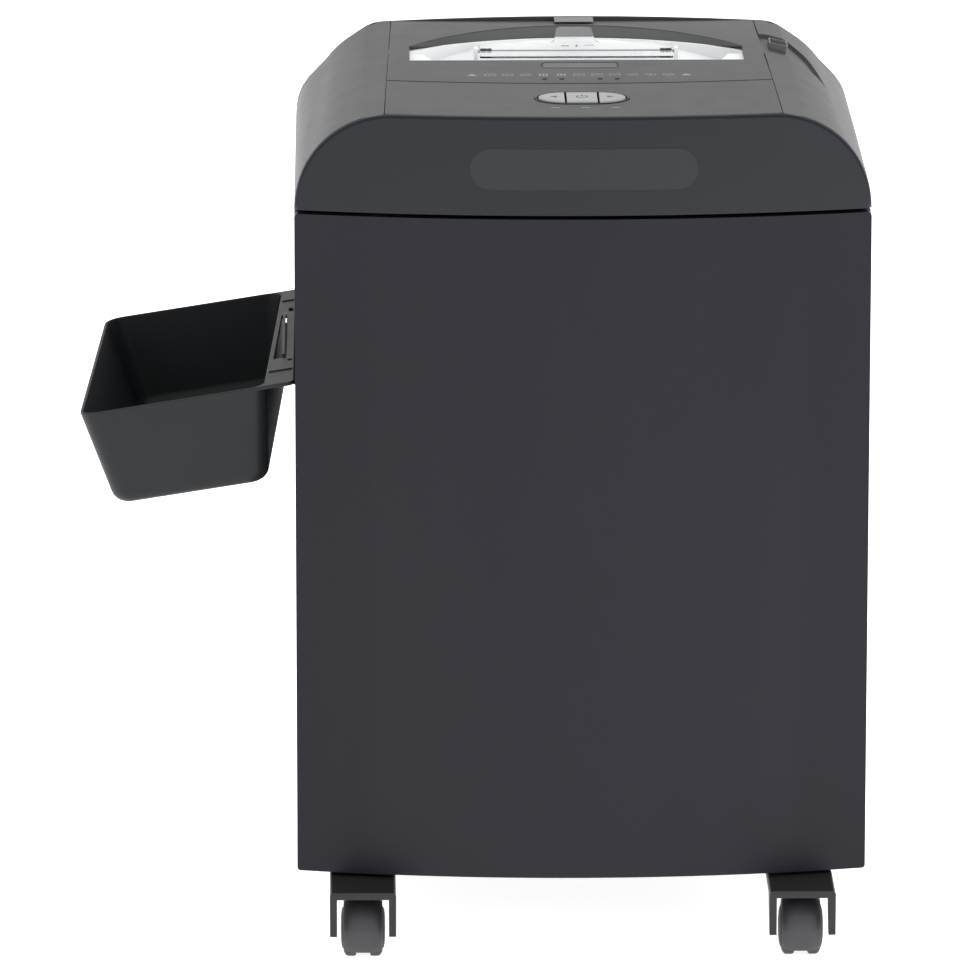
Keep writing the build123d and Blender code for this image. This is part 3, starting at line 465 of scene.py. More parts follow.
# ---- shapes ----
@dataclass(frozen=True)
class Housing:
    """Driving sizes of the cabinet and head that several sub-assemblies share."""

    half: float = 220.0
    depth: float = 345.0
    bow: float = 25.0
    panel_bottom: float = 62.5
    panel_top: float = 583.0
    head_bottom: float = 586.0
    front_top: float = 662.0
    rear_top: float = 668.0
    shoulder: float = 76.0
    shell: float = 3.0
    gap: float = 0.4
    seam_front: float = 151.5
    seam_rear: float = 144.0
    draw_in: float = 9.0
    crown: float = 3.4

    def bow_y(self, x: float, inset: float = 0.0) -> float:
        """Depth of the bowed front.

        Args:
            x: distance from the middle.
            inset: how far behind the outer face.

        Returns:
            The y of the bowed face.
        """
        radius = (self.half**2 + self.bow**2) / (2 * self.bow)
        return radius - self.bow - math.sqrt((radius - inset)**2 - x * x)

    def top(self, y: float) -> float:
        """Height of the head's flat top at a depth y."""
        return self.front_top + (self.rear_top - self.front_top) * (y + self.bow) / (self.depth + self.bow)

    def sag(self, x: float, y: float) -> float:
        """How much lower the top is beside its middle, growing to the back."""
        back = max(0.0, (y - 120.0) / (self.depth - 120.0))
        return self.crown * (min(1.0, abs(x) / self.seam_rear) * back)**2

    def narrowed(self, x: float, y: float) -> float:
        """Distance from the middle after the shoulders close in to the back.

        Args:
            x: distance from the middle before that.
            y: depth in the cabinet.

        Returns:
            The distance, with the sign of x.
        """
        share = min(1.0, max(0.0, (abs(x) - self.seam_front) / 34.0))
        fade = min(1.0, max(0.0, (abs(x) - self.half + 15.0) / 15.0))
        blend = share * share * (3 - 2 * share) * (1 - fade * fade * (3 - 2 * fade))
        shift = self.draw_in * max(0.0, y) / self.depth * blend
        return math.copysign(abs(x) - shift, x)

    def arc(self, angle: float, inset: float = 0.0) -> tuple[float, float]:
        """Point on the right shoulder.

        Args:
            angle: radians up from the horizontal.
            inset: how far inside the outer skin.

        Returns:
            x, and the height below the flat top as a negative number.
        """
        radius = self.shoulder - inset
        return self.half - self.shoulder + radius * math.cos(angle), radius * math.sin(angle) - self.shoulder

    def skin(self, x: float, y: float) -> float:
        """Height of the head's outer skin over a point in plan."""
        beyond = max(0.0, abs(x) - self.half + self.shoulder)
        arched = math.sqrt(max(0.0, self.shoulder**2 - beyond**2))
        return self.top(y) - self.sag(x, y) - self.shoulder + arched

    def seam(self, y: float) -> float:
        """Half width of the middle covers at a depth y."""
        return self.seam_front + (self.seam_rear - self.seam_front) * (y + self.bow) / (self.depth + self.bow)


HOUSING = Housing()
REAR_LOW, REAR_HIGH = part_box("rear_panel")
CABINET_ORIGIN = Vector(((REAR_LOW.x + REAR_HIGH.x) / 2, REAR_HIGH.y - HOUSING.depth * MM, 0.0))


def in_frame(point: Sequence[float]) -> Vector:
    """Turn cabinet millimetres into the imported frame's metres."""
    return CABINET_ORIGIN + Vector(point) * MM


@dataclass(frozen=True)
class Setting:
    """A local frame that a piece is built in."""

    origin: Sequence[float]
    across: Sequence[float] = (1.0, 0.0, 0.0)
    along: Sequence[float] = (0.0, 1.0, 0.0)

    def at(self, a: float, b: float, c: float) -> Vector:
        """Point a across, b along and c out of the frame's plane."""
        across, along = Vector(self.across), Vector(self.along)
        return Vector(self.origin) + across * a + along * b + across.cross(along) * c


LEVEL = Setting((0.0, 0.0, 0.0))


def round_box(half_a: float, half_b: float, radius: float, centre: tuple[float, float] = (0.0, 0.0),
              steps: int = 6) -> Outline:
    """Outline of a rectangle with round corners.

    Args:
        half_a: half its width.
        half_b: half its height.
        radius: corner radius.
        centre: its middle.
        steps: spans in each corner.

    Returns:
        The outline's points, anticlockwise.
    """
    points = []
    for turn, (sa, sb) in enumerate(((1, 1), (-1, 1), (-1, -1), (1, -1))):
        for step in range(steps + 1):
            angle = math.pi / 2 * (turn + step / steps)
            points.append((centre[0] + sa * (half_a - radius) + radius * math.cos(angle),
                           centre[1] + sb * (half_b - radius) + radius * math.sin(angle)))
    return points


def lens(half_a: float, half_b: float, straight: float, centre: tuple[float, float] = (0.0, 0.0),
         steps: int = 14) -> Outline:
    """Outline of a pill whose ends are half ellipses.

    Args:
        half_a: half its length.
        half_b: half its width.
        straight: half the length of its straight sides.
        centre: its middle.
        steps: spans in a quarter of an end.

    Returns:
        The outline's points, anticlockwise.
    """
    reach = half_a - straight
    right = [(straight + reach * math.cos(angle), half_b * math.sin(angle))
             for angle in (math.pi / 2 * (step / steps - 1) for step in range(2 * steps + 1))]
    points = right + [(-a, -b) for a, b in right]
    return [(centre[0] + a, centre[1] + b) for a, b in points]


def disc(radius: float, centre: tuple[float, float], steps: int = 20) -> Outline:
    """Outline of a circle.

    Args:
        radius: its radius.
        centre: its middle.
        steps: number of spans.

    Returns:
        The outline's points, anticlockwise.
    """
    return [(centre[0] + radius * math.cos(math.tau * step / steps),
             centre[1] + radius * math.sin(math.tau * step / steps)) for step in range(steps)]


def drawn_in(outline: Outline, distance: float) -> Outline:
    """Move a convex outline inwards.

    Args:
        outline: its points, anticlockwise.
        distance: how far in.

    Returns:
        The outline's points after the move.
    """
    result = []
    count = len(outline)
    for index, point in enumerate(outline):
        here = Vector(point)
        before = here - Vector(outline[index - 1])
        after = Vector(outline[(index + 1) % count]) - here
        first = Vector((-before.y, before.x)).normalized()
        second = Vector((-after.y, after.x)).normalized()
        middle = (first + second).normalized()
        reach = distance / max(0.35, middle.dot(first))
        result.append(tuple(here + middle * reach))
    return result


def shrunk(outline: Outline, distance: float) -> Outline:
    """Shrink a convex outline towards its middle.

    Args:
        outline: the outline.
        distance: how far its four extremes move in.

    Returns:
        The smaller outline.
    """
    spans = [(min(values), max(values)) for values in zip(*outline)]
    middles = [(low + high) / 2 for low, high in spans]
    shares = [max(0.1, 1.0 - 2.0 * distance / (high - low)) for low, high in spans]
    return [tuple(middle + (value - middle) * share for value, middle, share in zip(point, middles, shares))
            for point in outline]


def eased(points: Sequence[tuple[float, float]], x: float) -> float:
    """Smooth curve through points.

    Args:
        points: (x, value) pairs in order of x.
        x: where to read the curve.

    Returns:
        The curve's value, held level beyond its ends.
    """
    if x <= points[0][0]:
        return points[0][1]
    if x >= points[-1][0]:
        return points[-1][1]
    index = next(i for i in range(len(points) - 1) if x <= points[i + 1][0])
    slopes = []
    for i in (index, index + 1):
        low, high = max(0, i - 1), min(len(points) - 1, i + 1)
        slopes.append((points[high][1] - points[low][1]) / (points[high][0] - points[low][0]))
    (x0, v0), (x1, v1) = points[index], points[index + 1]
    width = x1 - x0
    t = (x - x0) / width
    return ((2 * t**3 - 3 * t**2 + 1) * v0 + (t**3 - 2 * t**2 + t) * width * slopes[0]
            + (3 * t**2 - 2 * t**3) * v1 + (t**3 - t**2) * width * slopes[1])


def spread(low: float, high: float, count: int) -> list[float]:
    """Evenly spaced numbers from low to high, both included."""
    return [low + (high - low) * step / (count - 1) for step in range(count)]


@dataclass
class Form:
    """Faces of one piece, gathered in cabinet millimetres."""

    points: list[Vector] = field(default_factory=list)
    faces: list[tuple[int, ...]] = field(default_factory=list)

    def add(self, points: Iterable[Sequence[float]], faces: Iterable[Sequence[int]]) -> None:
        """Take over points and the faces between them.

        Args:
            points: positions.
            faces: each face's corners, counted from the first of these points.
        """
        start = len(self.points)
        self.points.extend(Vector(point) for point in points)
        self.faces.extend(tuple(start + corner for corner in face) for face in faces)

    def loft(self, rings: Sequence[Sequence[Sequence[float]]], joined: bool = False) -> None:
        """Skin over closed rings that have the same number of points.

        Args:
            rings: the rings in order.
            joined: True if the last ring meets the first, False for flat ends.
        """
        count = len(rings[0])
        faces: list[tuple[int, ...]] = []
        for row in range(len(rings) if joined else len(rings) - 1):
            here, there = row * count, (row + 1) % len(rings) * count
            for i in range(count):
                j = (i + 1) % count
                faces.append((here + i, here + j, there + j, there + i))
        if not joined:
            faces.append(tuple(range(count)))
            faces.append(tuple(range((len(rings) - 1) * count, len(rings) * count)))
        self.add([point for ring in rings for point in ring], faces)

    def shell(self, outer: Sequence[Sequence[Sequence[float]]], inner: Sequence[Sequence[Sequence[float]]],
              opened: Iterable[tuple[int, int]] = ()) -> None:
        """Two grids of points a wall apart, closed along every border.

        Args:
            outer: rows of points on the outer face.
            inner: rows of points on the inner face.
            opened: cells (row, column) left out, as openings.
        """
        rows, columns = len(outer), len(outer[0])
        half = rows * columns
        skipped = set(opened)
        faces: list[tuple[int, ...]] = []
        edges = set()
        for row in range(rows - 1):
            for column in range(columns - 1):
                if (row, column) in skipped:
                    continue
                corner = row * columns + column
                quad = (corner, corner + 1, corner + columns + 1, corner + columns)
                faces.append(quad)
                faces.append(tuple(half + i for i in reversed(quad)))
                edges.update(zip(quad, quad[1:] + quad[:1]))
        for a, b in sorted(edges):
            if (b, a) not in edges:
                faces.append((b, a, half + a, half + b))
        self.add([point for grid in (outer, inner) for row in grid for point in row], faces)

    def turned(self, profile: Sequence[tuple[float, float]], centre: Sequence[float], axis: Axis,
               steps: int = 40) -> None:
        """Turn a profile about an axis.

        Args:
            profile: (distance along the axis, radius) pairs; flat ends close it.
            centre: point on the axis that distances are counted from.
            axis: the axis turned about.
            steps: spans round the axis.
        """
        first = (axis.value + 1) % 3
        second = (axis.value + 2) % 3
        rings = []
        for distance, radius in profile:
            ring = []
            for step in range(steps):
                point = list(centre)
                point[axis.value] += distance
                point[first] += radius * math.cos(math.tau * step / steps)
                point[second] += radius * math.sin(math.tau * step / steps)
                ring.append(point)
            rings.append(ring)
        self.loft(rings)

    def prism(self, outline: Outline, low: float, high: float, at: Placer = LEVEL.at) -> None:
        """Carry an outline between two heights.

        Args:
            outline: its points.
            low: lower height.
            high: upper height.
            at: places (a, b, height) in the cabinet.
        """
        self.loft([[at(a, b, height) for a, b in outline] for height in (low, high)])

    def band(self, outer: Outline, inner: Outline, low: float, high: float, at: Placer = LEVEL.at) -> None:
        """A closed frame between two outlines with the same number of points.

        Args:
            outer: outer outline.
            inner: inner outline.
            low: lower height.
            high: upper height.
            at: places (a, b, height) in the cabinet.
        """
        turns = ((outer, low), (outer, high), (inner, high), (inner, low))
        self.loft([[at(a, b, height) for a, b in outline] for outline, height in turns], joined=True)

    def crowned(self, outline: Outline, low: float, high: float, edge: float, crown: float = 0.0,
                at: Placer = LEVEL.at) -> None:
        """A key with a rounded upper edge and a slightly crowned top.

        Args:
            outline: its plan, convex.
            low: height of its foot.
            high: height where its top begins.
            edge: radius of the upper edge.
            crown: how much the middle stands higher.
            at: places (a, b, height) in the cabinet.
        """
        stages = [(0.0, low)]
        for step in range(5):
            angle = math.pi / 8 * step
            stages.append((edge * (1 - math.cos(angle)), high - edge * (1 - math.sin(angle))))
        stages += [(edge * 2.0, high + crown * 0.4), (edge * 3.6, high + crown)]
        rings = [shrunk(outline, inset) for inset, _ in stages]
        self.loft([[at(a, b, stage[1]) for a, b in ring] for ring, stage in zip(rings, stages)])

    def plate(self, outline: Outline, holes: Sequence[Outline], low: float, high: float, edge: float = 0.0,
              at: Placer = LEVEL.at) -> None:
        """A flat plate with openings and softened edges.

        Args:
            outline: its outer outline.
            holes: outlines of its openings.
            low: height of its underside.
            high: height of its top.
            edge: radius of every edge.
            at: places (a, b, height) in the cabinet.
        """
        curve = bpy.data.curves.new("plate", "CURVE")
        curve.dimensions = "2D"
        curve.fill_mode = "BOTH"
        curve.extrude = (high - low) / 2 - edge
        curve.bevel_depth = edge
        curve.bevel_resolution = 2
        curve.offset = -edge
        for loop in (outline, *holes):
            spline = curve.splines.new("POLY")
            spline.points.add(len(loop) - 1)
            for point, (a, b) in zip(spline.points, loop):
                point.co = (a, b, 0.0, 1.0)
            spline.use_cyclic_u = True
        holder = bpy.data.objects.new("plate", curve)
        bpy.context.scene.collection.objects.link(holder)
        graph = bpy.context.evaluated_depsgraph_get()
        mesh = bpy.data.meshes.new_from_object(holder.evaluated_get(graph))
        middle = (low + high) / 2
        self.add([at(v.co.x, v.co.y, v.co.z + middle) for v in mesh.vertices],
                 [tuple(face.vertices) for face in mesh.polygons])
        bpy.data.objects.remove(holder)
        bpy.data.curves.remove(curve)
        bpy.data.meshes.remove(mesh)

    def box(self, low: Sequence[float], high: Sequence[float]) -> None:
        """A block between two corners, to be edged by the piece's bevel."""
        ring = [(low[0], low[1]), (high[0], low[1]), (high[0], high[1]), (low[0], high[1])]
        self.prism(ring, low[2], high[2])

    def piece(self, name: str, edge: float = 0.0, crease: float = 38.0) -> bpy.types.Object:
        """Make the piece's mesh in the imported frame.

        Args:
            name: the piece's name.
            edge: radius put on every crisp edge.
            crease: angle in degrees above which an edge stays crisp.

        Returns:
            The new object, with its modifiers applied.
        """
        mesh = bpy.data.meshes.new(name)
        mesh.from_pydata([in_frame(point) for point in self.points], [], self.faces)
        work = bmesh.new()
        work.from_mesh(mesh)
        bmesh.ops.remove_doubles(work, verts=work.verts, dist=0.005 * MM)
        bmesh.ops.dissolve_degenerate(work, edges=work.edges, dist=0.002 * MM)
        bmesh.ops.recalc_face_normals(work, faces=work.faces)
        work.to_mesh(mesh)
        work.free()
        made = bpy.data.objects.new(name, mesh)
        bpy.context.scene.collection.objects.link(made)
        if edge:
            bevel = made.modifiers.new("edge", "BEVEL")
            bevel.width = edge * MM
            bevel.segments = 3
            bevel.limit_method = "ANGLE"
            bevel.angle_limit = math.radians(crease)
            settle(made)
        for polygon in made.data.polygons:
            polygon.use_smooth = True
        made.data.set_sharp_from_angle(angle=math.radians(crease))
        weighted = made.modifiers.new("shading", "WEIGHTED_NORMAL")
        weighted.keep_sharp = True
        settle(made)
        return made


def settle(made: bpy.types.Object) -> None:
    """Apply an object's modifiers to its mesh."""
    graph = bpy.context.evaluated_depsgraph_get()
    finished = bpy.data.meshes.new_from_object(made.evaluated_get(graph))
    finished.name = made.name
    made.modifiers.clear()
    made.data = finished


def fit(piece: bpy.types.Object, body: str, slot: Slot, finish: Finish, *nodes: str) -> bpy.types.Object:
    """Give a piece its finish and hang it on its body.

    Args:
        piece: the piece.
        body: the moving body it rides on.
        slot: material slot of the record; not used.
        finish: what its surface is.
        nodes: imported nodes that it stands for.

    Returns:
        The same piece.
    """
    piece.data.materials.clear()
    piece.data.materials.append(finish.material())
    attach(piece, body)
    if nodes:
        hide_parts(*nodes)
    LOG.info("%s rides on %s, finish %s", piece.name, body, finish.name)
    return piece


# ---- sub-assemblies ----
@dataclass
class BinDrawer:
    """Bowed front panel of the pull-out bin and the panel behind it."""

    back: float = 12.0
    upper_corner: float = 3.5
    lower_corner: float = 2.5
    edge: float = 1.4

    def height_at(self, x: float) -> tuple[float, float]:
        """Lower and upper edge of the front panel.

        Args:
            x: distance from the middle.

        Returns:
            Heights of the two edges.
        """
        ends = []
        for corner, sign in ((self.lower_corner, 1), (self.upper_corner, -1)):
            beyond = max(0.0, abs(x) - HOUSING.half + corner)
            ends.append(sign * (corner - math.sqrt(max(0.0, corner**2 - beyond**2))))
        return HOUSING.panel_bottom + ends[0], HOUSING.panel_top + ends[1]

    def front(self) -> None:
        """Build the bowed front panel."""
        bend = [HOUSING.half - self.lower_corner * (1 - math.sin(math.radians(a))) for a in range(0, 91, 15)]
        right = spread(0.0, HOUSING.half - self.lower_corner - 2.0, 16) + bend
        rings = []
        for x in [-x for x in reversed(right[1:])] + right:
            low, high = self.height_at(x)
            front = HOUSING.bow_y(x)
            rings.append([(x, front, low), (x, front, high), (x, self.back, high), (x, self.back, low)])
        form = Form()
        form.loft(rings)
        fit(form.piece("bin_front_panel", self.edge), "drawer", Slot.CABINET, PANEL, "drawer_front")

    def lining(self) -> None:
        """Build the flat inner panel with rounded corners."""
        middle = (HOUSING.panel_bottom + HOUSING.panel_top) / 2
        half_x = HOUSING.half - 8.0
        half_z = (HOUSING.panel_top - HOUSING.panel_bottom) / 2 - 8.0
        at = Setting((0.0, self.back + 0.6, middle), (-1.0, 0.0, 0.0), (0.0, 0.0, 1.0)).at
        form = Form()
        form.plate(round_box(half_x, half_z, 6.0), [], -1.6, 0.0, 0.4, at)
        fit(form.piece("bin_front_lining"), "drawer", Slot.TRIM, TRIM, "drawer_inner_panel")

    def build(self) -> None:
        """Build every piece of the drawer's front."""
        self.front()
        self.lining()


@dataclass
class HeadCovers:
    """Moulded covers of the cutting head."""

    rim: float = 2.6
    badge_half: tuple[float, float] = (86.2, 15.7)
    badge_deep: float = 1.6
    floor_inset: float = 6.0
    floor_front: float = 14.0
    cutter_opening: tuple[float, float] = (134.0, 46.0)
    cutter_y: float = 201.0
    gear_opening: tuple[float, float] = (4.5, 80.0)
    gear_middle: tuple[float, float] = (-149.5, 235.5)
    badge_z: float = 622.0
    control_back: float = 121.6
    joint: float = 2.2
    rear: float = 341.6
    throat_half: float = 130.5
    throat_front: float = 181.5
    throat_end: float = 234.0
    throat_peak: float = 286.0
    scoop_peak: float = 309.0
    scoop_drop: float = 4.4
    window: tuple[float, float, float] = (1.5, 29.5, 10.0)
    window_y: float = 161.0
    lamp_xs: tuple[float, ...] = (-27.0, -13.6, 16.0, 29.0)
    lamp_y: float = 112.0
    buttons: tuple[float, float, float] = (36.5, 21.0, 10.0)
    button_y: float = 43.0
    recess_depth: float = 2.6
    recess_wall: float = 0.9
    recess_front: tuple[tuple[float, float], ...] = (
        (149.0, 210.0), (165.0, 211.0), (179.0, 204.0), (193.0, 197.0), (199.0, 184.0))
    recess_rear: tuple[tuple[float, float], ...] = (
        (149.0, 282.0), (166.0, 282.0), (182.0, 271.0), (193.0, 243.0), (199.0, 184.0))
    switch_xs: tuple[float, float] = (151.9, 167.6)
    switch_ys: tuple[float, float] = (240.1, 261.9)

    def on_top(self, a: float, b: float, c: float) -> Vector:
        """Point c above the head's flat top, over a point in plan."""
        return Vector((a, b, HOUSING.top(b) - HOUSING.sag(a, b) + c))

    def fascia(self) -> None:
        """Build the bowed fascia with its rounded upper rim."""
        angles = [math.radians(a) for a in (1.5, *range(4, 90, 4), 90)]
        right = [(angle, HOUSING.half - HOUSING.shoulder) for angle in angles]
        right += [(math.pi / 2, x) for x in reversed(spread(0.0, HOUSING.half - HOUSING.shoulder, 13)[:-1])]
        stages = [(self.rim * (1 - math.sin(t)), self.rim * (1 - math.cos(t)))
                  for t in spread(0.0, math.pi / 2, 6)]
        stages.append((0.0, HOUSING.shell))
        rings = []
        for angle, centre in right:
            ring = []
            for drop, behind in stages:
                shift, height = HOUSING.arc(angle, drop)
                x = shift - (HOUSING.half - HOUSING.shoulder) + centre
                y = HOUSING.bow_y(x, behind)
                ring.append((x, y, HOUSING.top(-HOUSING.bow) + height))
            back_x, front_x = ring[-1][0], ring[0][0]
            ring.append((back_x, HOUSING.bow_y(back_x, HOUSING.shell), HOUSING.head_bottom))
            ring.append((front_x, HOUSING.bow_y(front_x), HOUSING.head_bottom))
            rings.append(ring)
        left = [[(-x, y, z) for x, y, z in ring] for ring in reversed(rings[:-1])]
        form = Form()
        form.loft(rings + left)
        fit(form.piece("head_fascia"), "cabinet", Slot.FASCIA, FASCIA, "front_fascia")

    def badge(self) -> None:
        """Build the blank stadium plate set into the fascia."""
        half, tall = self.badge_half
        ends = [half - tall * (1 - math.sin(math.radians(a))) for a in range(6, 91, 7)]
        right = spread(0.0, half - tall, 9) + ends
        form = Form()
        for grow, proud in ((0.0, 0.5), (0.5, 0.22)):
            rings = []
            for x in [-x for x in reversed(right[1:])] + right:
                beyond = max(0.0, abs(x) - half + tall)
                reach = math.sqrt(max(0.0, tall**2 - beyond**2)) + grow
                wide = x * (1 + grow / half)
                front = HOUSING.bow_y(wide) - proud
                low, high = self.badge_z - reach, self.badge_z + reach
                behind = front + self.badge_deep
                rings.append([(wide, front, low), (wide, front, high),
                              (wide, behind, high), (wide, behind, low)])
            form.loft(rings)
        fit(form.piece("badge_blank", 0.15), "cabinet", Slot.BADGE, BADGE, "badge_plate")

    def arched(self, half: float, end: float, peak: float, count: int) -> Outline:
        """Points on an arch over the throat, from its right end to its left.

        Args:
            half: half its width.
            end: depth of its ends.
            peak: depth of its middle.
            count: number of points.

        Returns:
            The arch's points.
        """
        rise = peak - end
        radius = (half**2 + rise**2) / (2 * rise)
        swing = math.asin(half / radius)
        return [(radius * math.sin(angle), peak - radius + radius * math.cos(angle))
                for angle in spread(swing, -swing, count)]

    def control_cover(self) -> None:
        """Build the strip that carries the buttons."""
        front = [(x, HOUSING.bow_y(x, HOUSING.shell + self.joint / 2))
                 for x in spread(-HOUSING.seam(0.0), HOUSING.seam(0.0), 33)]
        back = [(x, HOUSING.bow_y(x, self.control_back - self.joint))
                for x in spread(HOUSING.seam(109.0), -HOUSING.seam(109.0), 33)]
        a, b, straight = self.buttons
        hole = lens(a, b, straight, (0.0, self.button_y))
        form = Form()
        form.plate(front + back, [hole], -HOUSING.shell, 0.0, 0.5, self.on_top)
        fit(form.piece("control_strip"), "cabinet", Slot.COVER, COVER, "control_panel")

    def top_cover(self) -> None:
        """Build the top cover with the throat's opening and the scoop behind it."""
        front = [(x, HOUSING.bow_y(x, self.control_back))
                 for x in spread(-HOUSING.seam(109.0), HOUSING.seam(109.0), 33)]
        half = HOUSING.seam(self.rear)
        outline = front + [(half, self.rear), (-half, self.rear)]
        scoop = self.arched(self.throat_half, self.throat_end, self.scoop_peak, 41)
        mouth = [(-self.throat_half, self.throat_front), (self.throat_half, self.throat_front), *scoop]
        middle, half_a, half_b = self.window
        holes = [mouth, round_box(half_a + 0.3, half_b + 0.3, 4.0, (middle, self.window_y))]
        holes += [disc(2.2, (x, self.lamp_y)) for x in self.lamp_xs]
        form = Form()
        form.plate(outline, holes, -HOUSING.shell, 0.0, 0.5, self.on_top)
        arch = self.arched(self.throat_half, self.throat_end, self.throat_peak, 41)
        outer, inner = [], []
        for (ax, ay), (bx, by) in zip(scoop, arch):
            depth = self.scoop_drop * min(1.0, (ay - by) / 8.0)
            lip = depth + 1.2
            outer.append([self.on_top(ax, ay + 0.2, -0.35), self.on_top(bx, by + 0.7, -depth + 0.1),
                          self.on_top(bx, by, -depth - 0.6), self.on_top(bx, by, -lip)])
            inner.append([self.on_top(ax, ay + 0.4, -1.6), self.on_top(bx, by + 1.6, -depth - 1.4),
                          self.on_top(bx, by + 1.4, -depth - 1.6), self.on_top(bx, by + 1.4, -lip)])
        form.shell(outer, inner)
        fit(form.piece("head_top_cover"), "cabinet", Slot.COVER, COVER, "top_cover")

    def shoulder(self, side: int) -> tuple[list[list[Vector]], list[list[Vector]], list[tuple[int, int]]]:
        """Grids of one shoulder cover.

        Args:
            side: 1 for the right cover, -1 for the left.

        Returns:
            Outer grid, inner grid and the cells left open for the switch.
        """
        core = HOUSING.half - HOUSING.shoulder
        xs = [None, *self.switch_xs, 171.0, 175.0, 179.0, 183.0, 186.5, 189.5, 192.0, 194.0, 196.0, 197.5,
              198.6, 199.0, 202.0, 205.0, 208.0, 211.0, 213.5, 215.6, 217.4, 218.8, 219.6, 220.0, "foot"]
        outer, inner, opened = [], [], []
        for row, x in enumerate(xs):
            here = {None: HOUSING.seam_front + HOUSING.gap, "foot": HOUSING.half}.get(x, x)
            low = HOUSING.bow_y(here, HOUSING.shell + self.joint / 2)
            marks = [(low, 0.0)]
            if side > 0:
                start, stop = (eased(curve, here) for curve in (self.recess_front, self.recess_rear))
                wide = max(0.0, stop - start) if here < self.recess_front[-1][0] else 0.0
                stop = start + wide
                wall = min(self.recess_wall, wide / 3)
                depth = self.recess_depth * min(1.0, wide / 14.0)
                hole = [min(max(y, start + wall), stop - wall) for y in self.switch_ys]
                marks += [(start, 0.0), (start + wall, depth), *((y, depth) for y in hole),
                          (stop - wall, depth), (stop, 0.0)]
                if x == self.switch_xs[0]:
                    opened.append((row, 3))
            marks.append((self.rear, 0.0))
            outer.append([])
            inner.append([])
            for y, depth in marks:
                px = HOUSING.seam(y) + HOUSING.gap if x is None else here
                angle = math.acos(min(1.0, max(0.0, px - core) / HOUSING.shoulder))
                normal = Vector((side * math.cos(angle), 0.0, math.sin(angle)))
                z = HOUSING.head_bottom if x == "foot" else HOUSING.skin(px, y)
                skin = Vector((side * HOUSING.narrowed(px, y), y, z)) - normal * depth
                outer[-1].append(skin)
                inner[-1].append(skin - normal * (HOUSING.shell - depth * 0.4))
        return outer, inner, opened

    def shoulders(self) -> None:
        """Build both shoulder covers, the right one with the switch recess."""
        for side, name in ((-1, "left"), (1, "right")):
            form = Form()
            form.shell(*self.shoulder(side))
            fit(form.piece(f"head_shoulder_{name}", 0.0, 50.0), "cabinet", Slot.COVER, COVER,
                f"side_cover_{name}")

    def back_cover(self) -> None:
        """Build the rear cover with its vents and the inlet's opening."""
        arch = [HOUSING.arc(math.radians(a))[0] for a in range(0, 91, 6)] + [108.0, 72.0, 36.0]
        right = [(HOUSING.narrowed(x, HOUSING.depth), HOUSING.skin(x, HOUSING.depth)) for x in arch]
        low = HOUSING.head_bottom
        outline = [(-x, z) for x, z in right] + [(0.0, HOUSING.top(HOUSING.depth))]
        outline += [(x, z) for x, z in reversed(right)]
        foot = HOUSING.narrowed(HOUSING.half, HOUSING.depth)
        outline += [(foot, low), (-foot, low)]
        holes = [round_box(14.0, 10.0, 3.2, (120.0, 618.0))]
        for z in (607.5 + 8.0 * row for row in range(5)):
            holes.append(round_box(40.0, 1.5, 1.45, (-110.0, z), 3))
        at = Setting((0.0, HOUSING.depth, 0.0), (1.0, 0.0, 0.0), (0.0, 0.0, 1.0)).at
        form = Form()
        form.plate(outline, holes, 0.0, HOUSING.shell, 0.6, at)
        fit(form.piece("head_back_cover"), "cabinet", Slot.COVER, COVER, "rear_cover")

    def floor(self) -> None:
        """Build the head's base plate, open under the cutters and the gears."""

        def edge(y: float) -> float:
            """Half width of the plate at a depth y."""
            return HOUSING.narrowed(HOUSING.half, y) - self.floor_inset

        front, back = self.floor_front, self.rear - 0.1
        outline = [(-edge(front), front), (edge(front), front), (edge(back), back), (-edge(back), back)]
        cutters = round_box(*self.cutter_opening, 3.0, (0.0, self.cutter_y))
        gears = round_box(*self.gear_opening, 2.0, self.gear_middle)
        form = Form()
        form.plate(outline, [cutters, gears], HOUSING.panel_top, HOUSING.head_bottom, 0.3)
        fit(form.piece("head_floor"), "cabinet", Slot.TRIM, TRIM, "head_base")

    def build(self) -> None:
        """Build every cover."""
        self.floor()
        self.fascia()
        self.badge()
        self.control_cover()
        self.top_cover()
        self.shoulders()
        self.back_cover()


